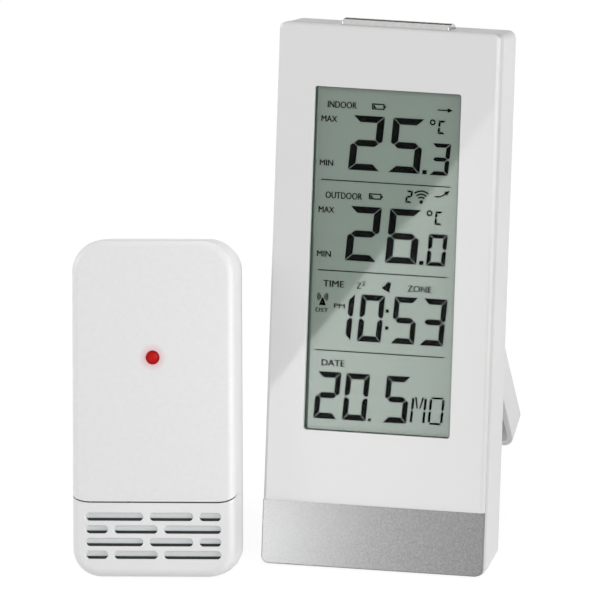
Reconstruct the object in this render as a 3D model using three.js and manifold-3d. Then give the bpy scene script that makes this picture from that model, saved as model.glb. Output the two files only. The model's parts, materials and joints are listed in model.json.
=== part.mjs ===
// A desktop weather station: a display console leaning back on a fold-out leg,
// and the wireless outdoor sensor that stands beside it on a small fold-out stand.
// Each unit is drawn in its own frame, in millimetres: x to the right, y back from
// its front face, z up the face. Its group then leans it back onto the table.

import * as THREE from 'three';
import { mergeVertices } from 'three/addons/utils/BufferGeometryUtils.js';
import Module from 'manifold-3d';

const wasm = await Module();
wasm.setup();

// Driving dimensions

const GAP = 0.3;
const OVERRUN = 5;
const FAR = 200;

const CONSOLE = {
  width: 74,
  height: 175,
  depth: 20.5,
  lean: THREE.MathUtils.degToRad(23.5),
  baseStart: 2.2,
  corner: 2.1,
  plate: 2,
  plateEdge: 1.1,
  frameBack: 4.6,
  caseFront: 4.9,
  caseCorner: 2.7,
  backEdge: 2.4,
  wall: 1.8,
  trimHeight: 20.6,
  trimCorner: 2.5,
  trimEdge: 0.35,
};

const WINDOW = { width: 49.5, bottom: 44, top: 155, corner: 0.6, flange: 1.5, flangeThickness: 0.6 };

const LCD = { width: 53.4, bottom: 41.7, top: 157.1, front: 2.5, back: 4.2 };

const LEG = {
  width: 46.6,
  open: THREE.MathUtils.degToRad(41.7),
  pinUp: 117.8,
  pinBack: 16.5,
  pinBoss: 3.4,
  reach: 105.8,
  depth: 11.4,
  taper: 28,
  skin: 2,
  footCorner: 4.8,
  pinRadius: 1.5,
  pinLength: 54,
};

const SNOOZE = {
  half: 18,
  front: 6.3,
  middle: 10.3,
  back: 14.3,
  face: 1.05,
  crown: 1.75,
  corner: 0.5,
  flange: 1.2,
};

const BUTTON = {
  radius: 3.1,
  flange: 4,
  proud: 0.8,
  across: 31,
  heights: [58, 74, 90],
  stem: 1.5,
  reach: 6.9,
};

const CASE_VENTS = { left: 27.6, right: 34.4, heights: [28, 32, 36], half: 0.7 };

const CONSOLE_SCREWS = {
  places: [[-31.3, 15], [31.3, 15], [-31.3, 167], [31.3, 167]],
  seat: 11,
  postFront: 7.6,
  bossBack: 7.3,
  boss: 2.6,
  tip: 4,
};

const BOARD = {
  front: 6,
  back: 7,
  half: 34,
  bottom: 24,
  top: 122,
  peg: 1.6,
  pegs: [[-31, 30], [31, 44], [-31, 118], [31, 118]],
};

const ROD = { left: -26, right: 27, back: 11.5, up: 162.4, radius: 4 };
const COIL = { left: 9, right: 23, radius: 5.4 };

const TOP_BOARD = { left: -16, right: 7, front: 5.8, back: 17.5, bottom: 167.1, thickness: 1, shelf: 2 };

const CELL = { radius: 5.2, length: 44.5, nubRadius: 1.9, nub: 0.8, pitch: 11.5, centre: 12.55 };

const BAY = { length: 53, width: 23.8, floorFront: 5.9, floor: 1, rebate: 18.4, rebateLip: 2.6 };

const CONSOLE_BAY_UP = 140.5;
const SENSOR_BAY_UP = 76.8;

const SENSOR = {
  width: 53.5,
  height: 108.5,
  depth: 20.5,
  lean: THREE.MathUtils.degToRad(26.5),
  turn: THREE.MathUtils.degToRad(7),
  left: 68,
  forward: 17,
  baseStart: 6,
  topCorner: 10.6,
  bottomCorner: 9.2,
  edgeDepth: 3,
  edgeInset: 2.6,
  wall: 2,
  coverBack: 13,
  caseInset: 0.8,
  seam: 24.05,
  seamRise: 1.95,
  seamRun: 6.2,
};

const SLOTS = {
  height: 2.5,
  lengths: [18.7, 14.2, 7.1],
  spacing: 2.1,
  rows: [19.3, 15.2, 11.1, 7],
};

const LOUVRE = { front: 1, back: 2.3, drop: 1.6, thickness: 0.6, root: 0.6 };

const LED = { up: 70.7, radius: 2.2, flange: 2.9, proud: 0.5 };

const SENSOR_SCREWS = {
  places: [[-20.8, 20], [20.8, 20], [-20.8, 92], [20.8, 92]],
  seat: 16.5,
  postFront: 13.3,
  post: 2.9,
  bossBack: 13,
  boss: 2.3,
  tip: 8,
};

const SENSOR_BAY = {
  half: BAY.width / 2,
  bottom: SENSOR_BAY_UP - BAY.length / 2,
  top: SENSOR_BAY_UP + BAY.length / 2,
  cover: 17.6,
  shelf: 14.4,
};

const CHANNEL = { across: 15.1, up: 74, travel: 2, knob: 1, body: 1.6, end: 17.4 };
const TRANSMIT = { radius: 1.5, travel: 0.6, end: 17 };
const SENSOR_BOARD = { front: 4, back: 5, half: 17.5, bottom: 27, top: 99, switch: 3 };

const STAND = {
  width: 30,
  open: THREE.MathUtils.degToRad(42),
  pinUp: 46,
  pinBack: 18.4,
  reach: 37,
  thickness: 2.2,
  barrel: 2.1,
  pinRadius: 1,
  corner: 4,
};

const SCREW = { head: 2, headHeight: 1.6, shank: 1.05, clearance: 1.35, counterbore: 2.4, post: 3.2 };

const CONTACT = {
  thickness: 0.5,
  half: 4.2,
  inset: 0.9,
  wire: 0.35,
  turns: 2.5,
  tall: 2.6,
  wide: 3,
  dimple: 1.4,
};

// Materials, with the colours of the photographed object

function finish(color, roughness, metalness = 0) {
  return new THREE.MeshStandardMaterial({ color, roughness, metalness });
}

const WHITE = 0xe4e4e4;
const PALE = 0xd8dad9;
const SATIN_SILVER = 0xb9b9ba;
const CHROME = 0xc9c9cc;
const BOARD_GREEN = 0x1f5a34;
const LCD_GREEN = 0x9aa69c;
const LED_RED = 0xc01818;
const CELL_GREY = 0x6f7377;
const NICKEL = 0xb8b5aa;
const DARK = 0x2b2b2d;

// Solids: closed geometries, joined and cut

function toSolid(geometry) {
  const bare = geometry.clone();
  bare.deleteAttribute('normal');
  bare.deleteAttribute('uv');
  const merged = mergeVertices(bare, 1e-4);
  return new wasm.Manifold(new wasm.Mesh({
    numProp: 3,
    vertProperties: new Float32Array(merged.attributes.position.array),
    triVerts: new Uint32Array(merged.index.array),
  }));
}

function toGeometry(solid) {
  const mesh = solid.getMesh();
  const geometry = new THREE.BufferGeometry();
  geometry.setAttribute('position', new THREE.BufferAttribute(mesh.vertProperties, 3));
  geometry.setIndex(new THREE.BufferAttribute(mesh.triVerts, 1));
  geometry.computeVertexNormals();
  return geometry;
}

function join(...solids) {
  return solids.reduce((whole, solid) => whole.add(solid));
}

function cut(solid, ...tools) {
  return tools.reduce((whole, tool) => whole.subtract(tool), solid);
}

// A box between two corners
function block(x0, x1, y0, y1, z0, z1) {
  const box = new THREE.BoxGeometry(x1 - x0, y1 - y0, z1 - z0);
  box.translate((x0 + x1) / 2, (y0 + y1) / 2, (z0 + z1) / 2);
  return toSolid(box);
}

// The outline of a rectangle with its own radius at the bottom and top corners
function roundRect(x0, x1, z0, z1, bottomRadius, topRadius = bottomRadius) {
  const shape = new THREE.Shape();
  shape.moveTo(x0 + bottomRadius, z0);
  shape.lineTo(x1 - bottomRadius, z0);
  shape.absarc(x1 - bottomRadius, z0 + bottomRadius, bottomRadius, -Math.PI / 2, 0);
  shape.lineTo(x1, z1 - topRadius);
  shape.absarc(x1 - topRadius, z1 - topRadius, topRadius, 0, Math.PI / 2);
  shape.lineTo(x0 + topRadius, z1);
  shape.absarc(x0 + topRadius, z1 - topRadius, topRadius, Math.PI / 2, Math.PI);
  shape.lineTo(x0, z0 + bottomRadius);
  shape.absarc(x0 + bottomRadius, z0 + bottomRadius, bottomRadius, Math.PI, Math.PI * 1.5);
  return shape;
}

const AXIS_X = new THREE.Vector3(1, 0, 0);
const AXIS_Y = new THREE.Vector3(0, 1, 0);
const AXIS_Z = new THREE.Vector3(0, 0, 1);

// An outline drawn in x and z, extruded from y0 back to y1
function panel(shape, y0, y1, curveSegments = 3) {
  const geometry = new THREE.ExtrudeGeometry(shape, { depth: y1 - y0, bevelEnabled: false, curveSegments });
  geometry.applyMatrix4(new THREE.Matrix4().makeBasis(AXIS_X, AXIS_Z, AXIS_Y.clone().negate()));
  geometry.translate(0, y1, 0);
  return toSolid(geometry);
}

// The same, with one long edge rounded: the front one, or the back one
function softPanel(shape, y0, y1, edge, { back = false, edgeDepth = edge, segments = 3, curves = 3 } = {}) {
  const spare = edgeDepth + 1;
  const front = back ? y0 - spare : y0;
  const rear = back ? y1 : y1 + spare;
  const geometry = new THREE.ExtrudeGeometry(shape, {
    depth: rear - front - 2 * edgeDepth,
    bevelEnabled: true,
    bevelThickness: edgeDepth,
    bevelSize: edge,
    bevelOffset: -edge,
    bevelSegments: segments,
    curveSegments: curves,
  });
  geometry.applyMatrix4(new THREE.Matrix4().makeBasis(AXIS_X, AXIS_Z, AXIS_Y.clone().negate()));
  geometry.translate(0, rear - edgeDepth, 0);
  return toSolid(geometry).intersect(block(-FAR, FAR, y0, y1, -FAR, FAR));
}

// A profile drawn in y and z, extruded across from x0 to x1
function beam(shape, x0, x1, curveSegments = 5) {
  const geometry = new THREE.ExtrudeGeometry(shape, { depth: x1 - x0, bevelEnabled: false, curveSegments });
  geometry.applyMatrix4(new THREE.Matrix4().makeBasis(AXIS_Y, AXIS_Z, AXIS_X));
  geometry.translate(x0, 0, 0);
  return toSolid(geometry);
}

// Round bars along y, x and z
function barY(x, z, radius, y0, y1, sides = 20) {
  const geometry = new THREE.CylinderGeometry(radius, radius, y1 - y0, sides);
  geometry.translate(x, (y0 + y1) / 2, z);
  return toSolid(geometry);
}

function barX(y, z, radius, x0, x1, sides = 20) {
  const geometry = new THREE.CylinderGeometry(radius, radius, x1 - x0, sides);
  geometry.rotateZ(Math.PI / 2);
  geometry.translate((x0 + x1) / 2, y, z);
  return toSolid(geometry);
}

function barZ(x, y, radius, z0, z1, sides = 16) {
  const geometry = new THREE.CylinderGeometry(radius, radius, z1 - z0, sides);
  geometry.rotateX(Math.PI / 2);
  geometry.translate(x, y, (z0 + z1) / 2);
  return toSolid(geometry);
}

// Everything under the table, in the frame of a unit whose base is cut at its lean angle
function underTable(unit, raise = 0) {
  const box = new THREE.BoxGeometry(2 * FAR, 2 * FAR, FAR);
  box.translate(0, 0, raise - FAR / 2);
  box.rotateX(unit.lean);
  box.translate(0, unit.baseStart, 0);
  return toSolid(box);
}

function part(name, solid, material) {
  const mesh = new THREE.Mesh(toGeometry(solid), material);
  mesh.name = name;
  return mesh;
}

// Screws: the head sits in a counterbore that opens at the back

function screwSolid(x, z, seat, tip) {
  const head = barY(x, z, SCREW.head, seat + GAP, seat + GAP + SCREW.headHeight, 12);
  const shank = barY(x, z, SCREW.shank, tip, seat + GAP + 0.1, 8);
  return join(head, shank);
}

function addScrews(group, prefix, places, seat, tip) {
  places.forEach(([x, z], index) => {
    group.add(part(`${prefix}_${index + 1}`, screwSolid(x, z, seat, tip), finish(NICKEL, 0.35, 1)));
  });
}

function screwHole(x, z, front, seat, back) {
  const bore = barY(x, z, SCREW.clearance, front - OVERRUN, seat + OVERRUN, 10);
  const counterbore = barY(x, z, SCREW.counterbore, seat, back + OVERRUN, 14);
  return join(bore, counterbore);
}

// Battery bay: two cells head to tail along x, with sprung contacts at the ends

function cellSolid(z, direction) {
  const profile = [
    [0, -CELL.length / 2],
    [CELL.radius - 0.5, -CELL.length / 2],
    [CELL.radius, -CELL.length / 2 + 0.5],
    [CELL.radius, CELL.length / 2 - CELL.nub - 0.6],
    [CELL.radius - 0.6, CELL.length / 2 - CELL.nub],
    [CELL.nubRadius, CELL.length / 2 - CELL.nub],
    [CELL.nubRadius, CELL.length / 2],
    [0, CELL.length / 2],
  ];
  const geometry = new THREE.LatheGeometry(profile.map(([r, l]) => new THREE.Vector2(r, l)), 18);
  geometry.rotateZ(-direction * Math.PI / 2);
  geometry.translate(0, CELL.centre, z);
  return toSolid(geometry);
}

class ConeSpring extends THREE.Curve {
  getPoint(t, target = new THREE.Vector3()) {
    const angle = t * CONTACT.turns * 2 * Math.PI;
    const radius = CONTACT.wide * (1 - 0.5 * t);
    return target.set(CONTACT.tall * t, radius * Math.cos(angle), radius * Math.sin(angle));
  }
}

// A conical contact spring that stands on its plate and points along x
function springSolid(x, z, direction) {
  const wire = new THREE.Shape();
  wire.absarc(0, 0, CONTACT.wire, 0, 2 * Math.PI);
  const geometry = new THREE.ExtrudeGeometry(wire, {
    extrudePath: new ConeSpring(),
    steps: 18,
    curveSegments: 2,
    bevelEnabled: false,
  });
  if (direction < 0) geometry.rotateZ(Math.PI);
  geometry.translate(x, CELL.centre, z);
  return toSolid(geometry);
}

function contactPlate(x, z0, z1) {
  const half = CONTACT.thickness / 2;
  return block(x - half, x + half, CELL.centre - CONTACT.half, CELL.centre + CONTACT.half, z0, z1);
}

function dimple(x, z, direction) {
  const reach = direction * 1.6;
  return barX(CELL.centre, z, CONTACT.dimple, Math.min(x, x + reach), Math.max(x, x + reach), 12);
}

// The bay's cells and contacts, around the bay's centre
function cellsAndContacts(prefix) {
  const group = new THREE.Group();
  const end = BAY.length / 2 - CONTACT.inset;
  const low = -CELL.pitch / 2;
  const high = CELL.pitch / 2;
  const metal = finish(NICKEL, 0.3, 1);
  const cell = finish(CELL_GREY, 0.4, 0.3);
  const bridge = join(
    contactPlate(end, low - CONTACT.half, high + CONTACT.half),
    springSolid(end, high, -1),
    dimple(end, low, -1),
  );
  const minus = join(contactPlate(-end, low - CONTACT.half, low + CONTACT.half), springSolid(-end, low, 1));
  const plus = join(contactPlate(-end, high - CONTACT.half, high + CONTACT.half), dimple(-end, high, 1));
  group.add(part(`${prefix}battery_1`, cellSolid(low, 1), cell));
  group.add(part(`${prefix}battery_2`, cellSolid(high, -1), cell));
  group.add(part(`${prefix}battery_contact_bridge`, bridge, metal));
  group.add(part(`${prefix}battery_contact_minus`, minus, metal));
  group.add(part(`${prefix}battery_contact_plus`, plus, metal));
  return group;
}

// Console: the outline that its plate, trim, frame and rear case share

const HALF = CONSOLE.width / 2;

function consoleOutline(corner, inset = 0) {
  return roundRect(-HALF + inset, HALF - inset, inset, CONSOLE.height - inset, corner);
}

function facePlates() {
  const face = softPanel(
    consoleOutline(CONSOLE.corner), 0, CONSOLE.plate, CONSOLE.plateEdge, { segments: 3, curves: 2 },
  );
  const foot = softPanel(
    consoleOutline(CONSOLE.trimCorner), 0, CONSOLE.plate, CONSOLE.trimEdge, { segments: 2, curves: 3 },
  );
  const split = CONSOLE.trimHeight + GAP;
  const upper = face.intersect(block(-FAR, FAR, -FAR, FAR, split, FAR));
  const lower = foot.intersect(block(-FAR, FAR, -FAR, FAR, -FAR, CONSOLE.trimHeight));
  const half = WINDOW.width / 2;
  const flange = WINDOW.flange + GAP;
  const rebateFront = CONSOLE.plate - WINDOW.flangeThickness - GAP;
  const opening = panel(
    roundRect(-half, half, WINDOW.bottom, WINDOW.top, WINDOW.corner), -OVERRUN, OVERRUN, 1,
  );
  const rebate = block(
    -half - flange, half + flange, rebateFront, OVERRUN, WINDOW.bottom - flange, WINDOW.top + flange,
  );
  const pane = join(
    panel(
      roundRect(-half + GAP, half - GAP, WINDOW.bottom + GAP, WINDOW.top - GAP, WINDOW.corner - GAP),
      0, CONSOLE.plate, 1,
    ),
    block(
      -half - WINDOW.flange, half + WINDOW.flange, CONSOLE.plate - WINDOW.flangeThickness, CONSOLE.plate,
      WINDOW.bottom - WINDOW.flange, WINDOW.top + WINDOW.flange,
    ),
  );
  const glass = finish(0xffffff, 0.05);
  glass.transparent = true;
  glass.opacity = 0.25;
  return [
    part('front_plate', cut(upper, opening, rebate), finish(WHITE, 0.15)),
    part('display_window', pane, glass),
    part('silver_trim', lower, finish(SATIN_SILVER, 0.45, 0.9)),
  ];
}

// The front half of the housing: carries the display, the bosses and the board pegs
function frontFrame() {
  const front = CONSOLE.plate + GAP;
  const slab = panel(consoleOutline(CONSOLE.corner), front, CONSOLE.frameBack, 2);
  const half = LCD.width / 2 + GAP;
  const seat = block(-half, half, -OVERRUN, OVERRUN, LCD.bottom - GAP, LCD.top + GAP);
  const bosses = CONSOLE_SCREWS.places.map(([x, z]) => (
    barY(x, z, CONSOLE_SCREWS.boss, CONSOLE.frameBack - 1, CONSOLE_SCREWS.bossBack, 14)
  ));
  const bores = CONSOLE_SCREWS.places.map(([x, z]) => (
    barY(x, z, SCREW.clearance, CONSOLE_SCREWS.tip - GAP, CONSOLE_SCREWS.bossBack + OVERRUN, 10)
  ));
  const pegs = BOARD.pegs.map(([x, z]) => (
    barY(x, z, BOARD.peg, CONSOLE.frameBack - 1, BOARD.front - GAP, 10)
  ));
  const lip = HALF - CONSOLE.wall - GAP;
  const rim = [-1, 1].map((side) => (
    block(
      Math.min(side * lip, side * (lip - 1.2)), Math.max(side * lip, side * (lip - 1.2)),
      CONSOLE.frameBack - 1, CONSOLE.frameBack + 1, 24, 160,
    )
  ));
  const frame = join(cut(slab, seat), ...bosses, ...pegs, ...rim);
  return part('front_frame', cut(frame, ...bores, underTable(CONSOLE)), finish(PALE, 0.4));
}

// The rear case: a shell with the leg recess, the battery bay, posts and holes
function rearCase() {
  const inner = CONSOLE.wall;
  const backInner = CONSOLE.depth - inner;
  const outer = softPanel(
    consoleOutline(CONSOLE.caseCorner), CONSOLE.caseFront, CONSOLE.depth, CONSOLE.backEdge,
    { back: true, segments: 3, curves: 2 },
  );
  const hollow = cut(
    panel(consoleOutline(1.2, inner), CONSOLE.caseFront - OVERRUN, backInner, 1),
    underTable(CONSOLE, inner),
  );
  const shell = cut(outer, hollow, underTable(CONSOLE));

  const recess = {
    half: LEG.width / 2 + 0.45,
    bottom: LEG.pinUp - LEG.reach - 1,
    top: LEG.pinUp + 4.6,
    front: CONSOLE.depth - LEG.depth - 0.6,
  };
  const recessBlock = block(
    -recess.half - 1.5, recess.half + 1.5, recess.front - 1, backInner + 0.5,
    recess.bottom - 1.5, recess.top + 1.5,
  );
  const recessCut = block(-recess.half, recess.half, recess.front, FAR, recess.bottom, recess.top);
  const bossEnd = LEG.pinLength / 2 + 1.5;
  const pinBosses = join(
    barX(LEG.pinBack, LEG.pinUp, LEG.pinBoss, -bossEnd, -recess.half, 16),
    barX(LEG.pinBack, LEG.pinUp, LEG.pinBoss, recess.half, bossEnd, 16),
  ).intersect(block(-FAR, FAR, 0, backInner + 0.5, 0, FAR));
  const pinBore = barX(
    LEG.pinBack, LEG.pinUp, LEG.pinRadius + GAP, -LEG.pinLength / 2 - GAP, LEG.pinLength / 2 + GAP, 16,
  );

  const bay = bayWalls(BAY.length, BAY.width, CONSOLE_BAY_UP, backInner);
  const posts = CONSOLE_SCREWS.places.map(([x, z]) => (
    barY(x, z, SCREW.post, CONSOLE_SCREWS.postFront, backInner + 0.5, 14)
  ));
  const holes = CONSOLE_SCREWS.places.map(([x, z]) => (
    screwHole(x, z, CONSOLE_SCREWS.postFront, CONSOLE_SCREWS.seat, CONSOLE.depth)
  ));
  const buttonHoles = [];
  for (const side of [-1, 1]) {
    for (const z of BUTTON.heights) {
      buttonHoles.push(barY(side * BUTTON.across, z, BUTTON.radius + GAP, backInner - 1, FAR, 16));
    }
  }
  const { left, right, heights, half } = CASE_VENTS;
  const vents = heights.map((z) => (
    panel(roundRect(left, right, z - half, z + half, half - 0.01), backInner - 1, FAR, 1)
  ));
  const snoozeSlot = upright(snoozePlan(GAP), CONSOLE.height - OVERRUN, FAR);
  const cradles = [ROD.left + 5, ROD.right - 3].map((x) => (
    cut(
      block(x, x + 2, 8, backInner + 0.5, bay.top - 0.5, ROD.up + 1),
      barX(ROD.back, ROD.up, ROD.radius + GAP, -FAR, FAR, 16),
    )
  ));
  const shelfTop = TOP_BOARD.bottom - GAP;
  const shelves = [TOP_BOARD.left + 1, TOP_BOARD.right - 3].map((x) => (
    block(x, x + 2, TOP_BOARD.back - 2.1, backInner + 0.5, shelfTop - TOP_BOARD.shelf, shelfTop)
  ));
  return part(
    'rear_case',
    cut(
      join(shell, recessBlock, pinBosses, bay.walls, ...posts, ...cradles, ...shelves),
      recessCut, pinBore, bay.hollow, ...holes, ...buttonHoles, ...vents, snoozeSlot,
    ),
    finish(WHITE, 0.35),
  );
}

// The walls round a battery pocket, and the pocket with the rebate for its cover
function bayWalls(length, width, up, backInner) {
  const half = length / 2;
  const lip = BAY.rebateLip;
  const bottom = up - width / 2;
  const top = up + width / 2;
  const walls = block(
    -half - 1.5, half + 1.5, BAY.floorFront, backInner + 0.5, bottom - lip - 0.2, top + lip + 1.5,
  );
  const pocket = block(-half, half, BAY.floorFront + BAY.floor, FAR, bottom, top);
  const rebate = block(-half - 1, half + 1, BAY.rebate, FAR, bottom - lip, top + lip);
  return { walls, hollow: join(pocket, rebate), bottom: bottom - lip, top: top + lip + 1.5 };
}

// An outline drawn in x and y, standing from z0 to z1
function upright(shape, z0, z1) {
  const settings = { depth: z1 - z0, bevelEnabled: false, curveSegments: 2 };
  const geometry = new THREE.ExtrudeGeometry(shape, settings);
  geometry.translate(0, 0, z0);
  return toSolid(geometry);
}

function snoozePlan(room = 0) {
  return roundRect(
    -SNOOZE.half - room, SNOOZE.half + room, SNOOZE.front - room, SNOOZE.back + room, SNOOZE.corner + room,
  );
}

function batteryCover(name, halfX, z0, z1, corner) {
  const front = BAY.rebate + GAP;
  const lid = panel(roundRect(-halfX, halfX, z0, z1, corner), front, CONSOLE.depth, 2);
  const grip = [0, 1, 2].map((row) => (
    block(-6, 6, CONSOLE.depth - 0.5, FAR, z0 + 3 + row * 2, z0 + 3.9 + row * 2)
  ));
  return part(name, cut(lid, ...grip), finish(WHITE, 0.4));
}

// The fold-out leg, in the frame of its pin when folded away: a deep tray, open towards the case
function standLeg() {
  const outer = CONSOLE.depth - LEG.pinBack;
  const inner = outer - LEG.depth;
  const half = LEG.width / 2;
  const plan = panel(roundRect(-half, half, -LEG.reach, outer, LEG.footCorner, 0.6), inner, outer, 4);
  const side = new THREE.Shape();
  side.moveTo(outer, -LEG.reach - OVERRUN);
  side.lineTo(outer, 0);
  side.absarc(0, 0, outer, 0, Math.PI);
  side.lineTo(inner, -LEG.taper);
  side.lineTo(inner, -LEG.reach - OVERRUN);
  const blank = plan.intersect(beam(side, -FAR, FAR, 5));
  const tray = panel(
    roundRect(
      -half + LEG.skin, half - LEG.skin, -LEG.reach + LEG.skin, -outer - 1,
      LEG.footCorner - LEG.skin, 0.6,
    ),
    inner - OVERRUN, outer - LEG.skin, 3,
  );
  const bore = barX(0, 0, LEG.pinRadius + GAP, -FAR, FAR, 20);
  const ribs = [-1, 1].map((direction) => (
    block(direction * 7.5 - 0.6, direction * 7.5 + 0.6, outer - 2.6, outer - 1, -LEG.reach + 1, -outer)
  ));
  const table = new THREE.BoxGeometry(2 * FAR, 2 * FAR, FAR);
  table.translate(0, 0, -FAR / 2);
  table.rotateX(CONSOLE.lean);
  table.translate(0, CONSOLE.baseStart - LEG.pinBack, -LEG.pinUp);
  table.rotateX(-LEG.open);
  const solid = cut(join(cut(blank, tray), ...ribs), bore, toSolid(table));
  return part('stand_leg', solid, finish(WHITE, 0.4));
}

function legAssembly() {
  const group = new THREE.Group();
  group.position.set(0, LEG.pinBack, LEG.pinUp);
  group.rotation.x = LEG.open;
  group.add(standLeg());
  const pin = barX(0, 0, LEG.pinRadius, -LEG.pinLength / 2, LEG.pinLength / 2, 20);
  group.add(part('leg_pin', pin, finish(NICKEL, 0.3, 1)));
  return group;
}

// The snooze and light bar along the top: a domed bar, kept in by a flange under the top wall
function snoozeBar() {
  const ceiling = CONSOLE.height - CONSOLE.wall;
  const edge = CONSOLE.height + SNOOZE.face;
  const section = new THREE.Shape();
  section.moveTo(SNOOZE.front, ceiling - 1);
  section.lineTo(SNOOZE.back, ceiling - 1);
  section.lineTo(SNOOZE.back, edge);
  section.quadraticCurveTo(SNOOZE.middle, edge + 2 * (SNOOZE.crown - SNOOZE.face), SNOOZE.front, edge);
  const bar = beam(section, -FAR, FAR, 8).intersect(upright(snoozePlan(), 0, FAR));
  const flangeTop = ceiling - GAP;
  const flange = block(
    -SNOOZE.half - 1, SNOOZE.half + 1, SNOOZE.front - 0.8, SNOOZE.back + 1,
    flangeTop - SNOOZE.flange, flangeTop,
  );
  return part('snooze_bar', join(bar, flange), finish(CHROME, 0.15, 1));
}

function rearButton(name, x, z) {
  const wallInner = CONSOLE.depth - CONSOLE.wall;
  const profile = [
    [0, wallInner - BUTTON.reach],
    [BUTTON.stem, wallInner - BUTTON.reach],
    [BUTTON.stem, wallInner - 1.8],
    [BUTTON.flange, wallInner - 1.8],
    [BUTTON.flange, wallInner - GAP],
    [BUTTON.radius, wallInner - GAP],
    [BUTTON.radius, CONSOLE.depth + BUTTON.proud - 0.5],
    [BUTTON.radius - 0.5, CONSOLE.depth + BUTTON.proud],
    [0, CONSOLE.depth + BUTTON.proud],
  ];
  const geometry = new THREE.LatheGeometry(profile.map(([r, y]) => new THREE.Vector2(r, y)), 14);
  geometry.translate(x, 0, z);
  return part(name, toSolid(geometry), finish(PALE, 0.5));
}

// What the console holds inside: the display stack, boards, aerials and sounder
function consoleInside() {
  const group = new THREE.Group();
  const half = LCD.width / 2;
  group.add(part(
    'lcd_panel', block(-half, half, LCD.front, LCD.back, LCD.bottom, LCD.top), finish(LCD_GREEN, 0.4),
  ));
  group.add(part(
    'display_backlight', block(-half + 0.5, half - 0.5, LCD.back + GAP, 5.5, LCD.bottom + 4, LCD.top),
    finish(PALE, 0.3),
  ));
  group.add(part(
    'display_connector',
    block(-24, 24, LCD.back + GAP, BOARD.front - GAP, LCD.bottom + 0.4, LCD.bottom + 3),
    finish(DARK, 0.8),
  ));
  const switches = [];
  for (const side of [-1, 1]) {
    for (const z of BUTTON.heights) {
      const x = side * BUTTON.across;
      switches.push(block(x - 3, x + 3, BOARD.back - 0.5, BOARD.back + 3.4, z - 3, z + 3));
      switches.push(barY(x, z, 1.6, BOARD.back + 3, BOARD.back + 3.9, 8));
    }
  }
  const board = block(-BOARD.half, BOARD.half, BOARD.front, BOARD.back, BOARD.bottom, BOARD.top);
  group.add(part('circuit_board', join(board, ...switches), finish(BOARD_GREEN, 0.5)));
  const topSwitch = join(
    block(-3, 3, SNOOZE.middle - 3, SNOOZE.middle + 3, TOP_BOARD.bottom + 0.5, TOP_BOARD.bottom + 3),
    barZ(0, SNOOZE.middle, 1.4, TOP_BOARD.bottom + 2, TOP_BOARD.bottom + 3.5, 12),
  );
  const topPlate = block(
    TOP_BOARD.left, TOP_BOARD.right, TOP_BOARD.front, TOP_BOARD.back,
    TOP_BOARD.bottom, TOP_BOARD.bottom + TOP_BOARD.thickness,
  );
  group.add(part('snooze_board', join(topPlate, topSwitch), finish(BOARD_GREEN, 0.5)));
  const rod = barX(ROD.back, ROD.up, ROD.radius, ROD.left, ROD.right, 20);
  group.add(part('clock_antenna_rod', rod, finish(DARK, 0.6)));
  const coil = cut(
    barX(ROD.back, ROD.up, COIL.radius, COIL.left, COIL.right, 20),
    barX(ROD.back, ROD.up, ROD.radius + GAP, -FAR, FAR, 20),
  );
  group.add(part('clock_antenna_coil', coil, finish(0x9a4a22, 0.5, 0.6)));
  const onBoard = BOARD.back + GAP;
  const receiver = join(
    block(-34.2, -26.6, onBoard, onBoard + 1, 98, 118),
    block(-33, -28, onBoard + 0.9, onBoard + 2.8, 102, 112),
  );
  group.add(part('receiver_module', receiver, finish(BOARD_GREEN, 0.5)));
  group.add(part('receiver_antenna', barZ(-30.5, onBoard + 1.2, 0.7, 38, 53, 10), finish(NICKEL, 0.4, 1)));
  group.add(part('buzzer', cut(
    barY(BUTTON.across, 108, 4.2, onBoard, onBoard + 4.5, 20),
    barY(BUTTON.across, 108, 1, onBoard + 2, FAR, 10),
  ), finish(DARK, 0.5)));
  const bead = new THREE.LatheGeometry([[0, 0], [0.6, 0], [0.6, 2.4], [1.4, 3.2], [1.4, 4.6], [0, 5.4]].map(
    ([r, y]) => new THREE.Vector2(r, y),
  ), 12);
  bead.translate(BUTTON.across, onBoard, 32);
  group.add(part('room_thermistor', toSolid(bead), finish(DARK, 0.5)));
  return group;
}

function buildConsole() {
  const group = new THREE.Group();
  group.rotation.x = -CONSOLE.lean;
  group.position.z = CONSOLE.baseStart * Math.sin(CONSOLE.lean);
  facePlates().forEach((mesh) => group.add(mesh));
  group.add(frontFrame());
  group.add(rearCase());
  const lip = BAY.rebateLip - GAP;
  group.add(batteryCover(
    'battery_cover', BAY.length / 2 + 1 - GAP,
    CONSOLE_BAY_UP - BAY.width / 2 - lip, CONSOLE_BAY_UP + BAY.width / 2 + lip, 0.8,
  ));
  const cells = cellsAndContacts('');
  cells.position.z = CONSOLE_BAY_UP;
  group.add(cells);
  group.add(consoleInside());
  group.add(snoozeBar());
  const names = ['mode', 'alarm', 'memory', 'up', 'down', 'channel'];
  BUTTON.heights.forEach((z, row) => {
    group.add(rearButton(`button_${names[row]}`, -BUTTON.across, z));
    group.add(rearButton(`button_${names[row + 3]}`, BUTTON.across, z));
  });
  group.add(legAssembly());
  addScrews(group, 'case_screw', CONSOLE_SCREWS.places, CONSOLE_SCREWS.seat, CONSOLE_SCREWS.tip);
  return group;
}

// Sensor

const SENSOR_HALF = SENSOR.width / 2;

function sensorOutline(inset = 0) {
  return roundRect(
    -SENSOR_HALF + inset, SENSOR_HALF - inset, inset, SENSOR.height - inset,
    SENSOR.bottomCorner - inset, SENSOR.topCorner - inset,
  );
}

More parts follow.
